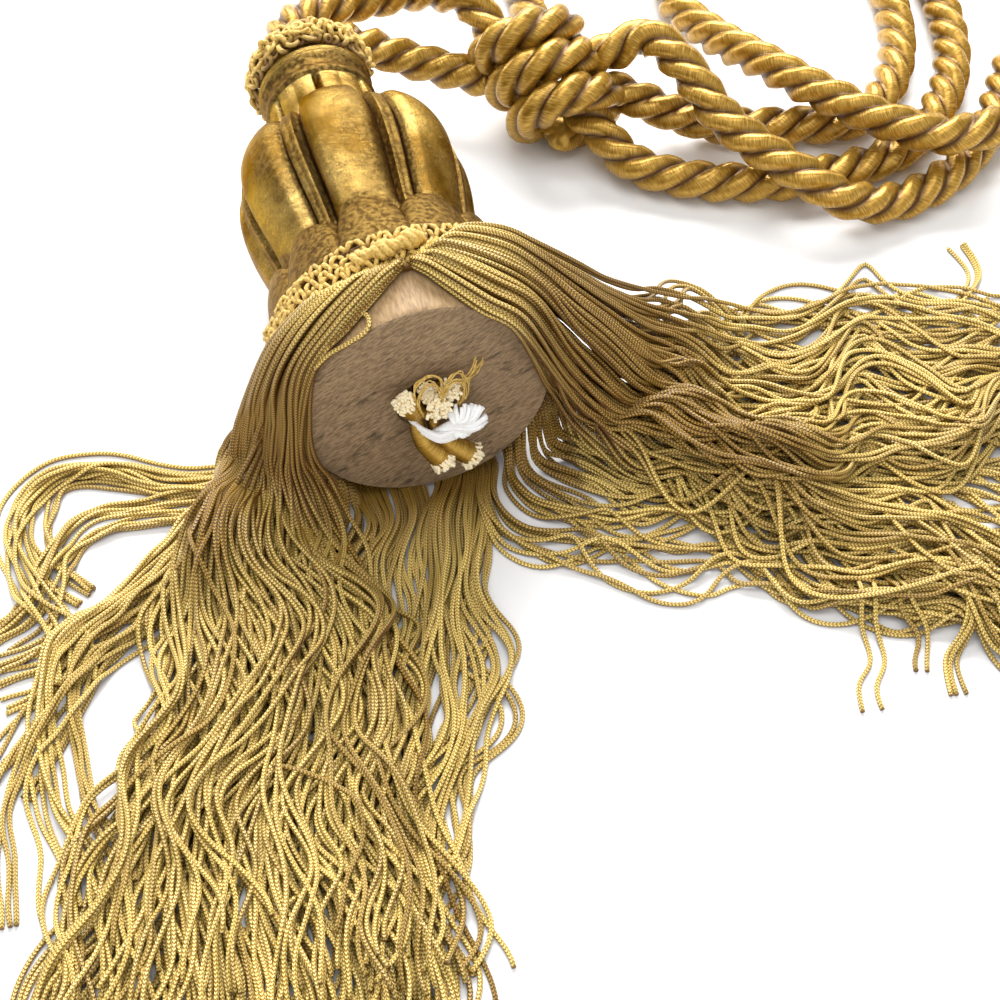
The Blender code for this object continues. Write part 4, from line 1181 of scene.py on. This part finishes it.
cotton = fluffy_yarn("cut_cotton", 0.85, 1300, 4, (0.9, 0.72, 0.42), (1.0, 0.93, 0.7), 0.6)
ply_rng = np.random.default_rng(8)
for name, line in PLIES:
    line = np.array(line)
    run = smooth_run(on_base(line[:, :3]), PLY_STEP)
    thick = np.interp(np.linspace(0, 1, len(run)), np.linspace(0, 1, len(line)), line[:, 3]) * PLY_RADIUS
    swell = thick * (1 + 0.025 * np.sin(np.arange(len(run)) * PLY_STEP / THREAD_PITCH * math.tau))
    new_piece(name + "_satin", name, satin, *yarn_tubes(run[None], swell, 20))
    ply_ends = [directions[-1] for directions in carried_sides(run)]
    tuft_shape = (1.5, 0.5) if name in ("ply_end_5", "ply_end_6") else (1.1, 0.2)
    tuft = cotton_tuft(ply_rng, run[-1], *ply_ends, thick[-1], *tuft_shape)
    new_piece(name + "_cotton", name, cotton, *yarn_tubes(tuft, COTTON_YARN, 5))

# Loose gold threads sprung out of the cut plies
THREAD_THICK = 0.17
THREAD_LOOPS = (
    ((-3.2, 2.6, 5.2), (-4.2, 7.4, 5.4), (-3.4, 11.4, 4.6), (-0.6, 13.2, 4.0), (2.2, 12.0, 4.4),
     (2.6, 8.6, 6.4)),
    ((-2.6, 3.2, 6.0), (-3.4, 7.2, 6.6), (-2.8, 10.4, 6.0), (-0.4, 12.0, 5.4), (1.6, 10.8, 6.2),
     (1.8, 8.0, 7.4)),
    ((2.2, 8.0, 6.4), (3.8, 10.8, 5.6), (6.4, 11.0, 5.0), (7.6, 8.6, 5.0), (7.2, 5.6, 5.4), (6.0, 3.4, 5.6)),
    ((2.8, 9.0, 6.0), (4.8, 12.0, 4.4), (7.6, 11.6, 3.8), (8.8, 8.2, 4.0), (8.2, 5.0, 4.6), (6.6, 2.6, 5.0)),
    ((5.6, 6.0, 4.6), (8.0, 8.6, 3.6), (10.2, 10.6, 2.6), (11.6, 13.2, 1.6)),
    ((5.6, 6.2, 4.2), (8.6, 7.6, 3.2), (11.4, 8.8, 2.0), (13.4, 11.4, 1.2)),
)
thread_runs = []
for loop in THREAD_LOOPS:
    for _ in range(4):
        shifted = on_base(np.array(loop) + ply_rng.normal(0, 0.3, (len(loop), 3)))
        thread_runs.append(even_run(shifted, 60, 40))
places, faces, uv = yarn_tubes(np.stack(thread_runs), THREAD_THICK, 5)
new_piece("ply_threads_loose", "ply_end_4", braid, places, faces, uv, slot="rope_satin",
          crest=np.ones(len(places)))

# --- The yarn tie --------------------------------------------------------------------------------
# Soft white yarn, pulled tight round the lower two plies and knotted beside them, with its ends fanned out.

TIE_PINCH = (-0.6, -3.2, 6.4)
TIE_MIDDLE = (6.6, -1.6, 6.6)
TIE_WIDE, TIE_TALL = 6.0, 5.4
TIE_YARN = 0.5

tie_rng = np.random.default_rng(3)
tie_runs = []
pinch, middle = np.array(TIE_PINCH), np.array(TIE_MIDDLE)
for k in range(44):
    angle = math.radians(-118 + 250 * k / 43) + tie_rng.normal(0, 0.05)
    reach = tie_rng.uniform(0.86, 1.06)
    tip = middle + (TIE_WIDE * math.cos(angle) * reach, TIE_TALL * math.sin(angle) * reach,
                    tie_rng.uniform(-1.5, 0.5))
    half = middle + (tip - middle) * 0.55 + (-0.8, 0, 1.6 + tie_rng.uniform(-0.4, 0.7))
    near_knot = middle + (-2.6, 1.2 * math.sin(angle), 0.6) + tie_rng.normal(0, 0.25, 3)
    tie_runs.append(even_run(on_base((pinch, near_knot, half, tip)), 60, 22))
for k in range(16):
    across = (k % 4) * 0.75 - 1.1 + tie_rng.normal(0, 0.12)
    line = ((-4.9, -0.6 + 0.3 * across, 3.2), (-2.8, -2.2 + across * 0.6, 6.0),
            (0.6, -3.6 + across, 7.6 + k * 0.06), (4.0, -4.2 + across, 7.6),
            (6.0, -2.4 + across * 0.7, 8.0), (5.0, 0.2 + across * 0.4, 7.0))
    tie_runs.append(even_run(on_base(line), 60, 22))
white = fluffy_yarn("white_yarn", 0.8, 2200, 3, (0.93, 0.93, 0.92), (1.0, 1.0, 1.0), 0.8)
new_piece("yarn_tie_knot", "yarn_tie", white, *yarn_tubes(np.stack(tie_runs), TIE_YARN, 6))

# --- The table and the light ---------------------------------------------------------------------
# A white table under a broad soft light from above and behind, with white all round.

bpy.ops.mesh.primitive_plane_add(size=6, location=(0, 0, 0))
table = bpy.context.object
table.name = "table"
table.data.materials.append(new_finish("white_table", 0.6, Base_Color=(0.9, 0.9, 0.9, 1))[0])

# The white all round is brightest on the viewer's side
surround = bpy.data.worlds.new("studio")
surround.use_nodes = True
sky = surround.node_tree.nodes
way = sky.new("ShaderNodeSeparateXYZ")
feed(way, {"Vector": sky.new("ShaderNodeTexCoord").outputs["Generated"]})
fade = sky.new("ShaderNodeMapRange")
feed(fade, {"Value": way.outputs["Y"], "From Min": 0.3, "From Max": -0.6, "To Min": 0.18, "To Max": 1.05})
feed(sky["Background"], {"Color": (1, 1, 1, 1), "Strength": fade.outputs["Result"]})
bpy.context.scene.world = surround

# Each lamp: where it is and what it is aimed at in metres, its width, its height and its watts
for spot, aim, width, height, power in (
    ((-0.05, 0.95, 0.8), (0, 0.05, 0.02), 0.9, 0.7, 29),
    ((-0.85, 0.8, 0.35), (-0.03, 0.07, 0.05), 0.5, 0.5, 4.0),
    ((0.75, 0.85, 0.45), (-0.03, 0.07, 0.05), 0.4, 0.5, 1.8),
    ((-0.1, -0.1, 1.5), (0, 0, 0), 1.0, 1.0, 9.5),
):
    turn = (Vector(aim) - Vector(spot)).to_track_quat("-Z", "Y").to_euler()
    bpy.ops.object.light_add(type="AREA", location=spot, rotation=turn)
    lamp = bpy.context.object
    lamp.data.shape = "RECTANGLE"
    lamp.data.size = width
    lamp.data.size_y = height
    lamp.data.energy = power
bpy.context.scene.view_settings.view_transform = "Standard"
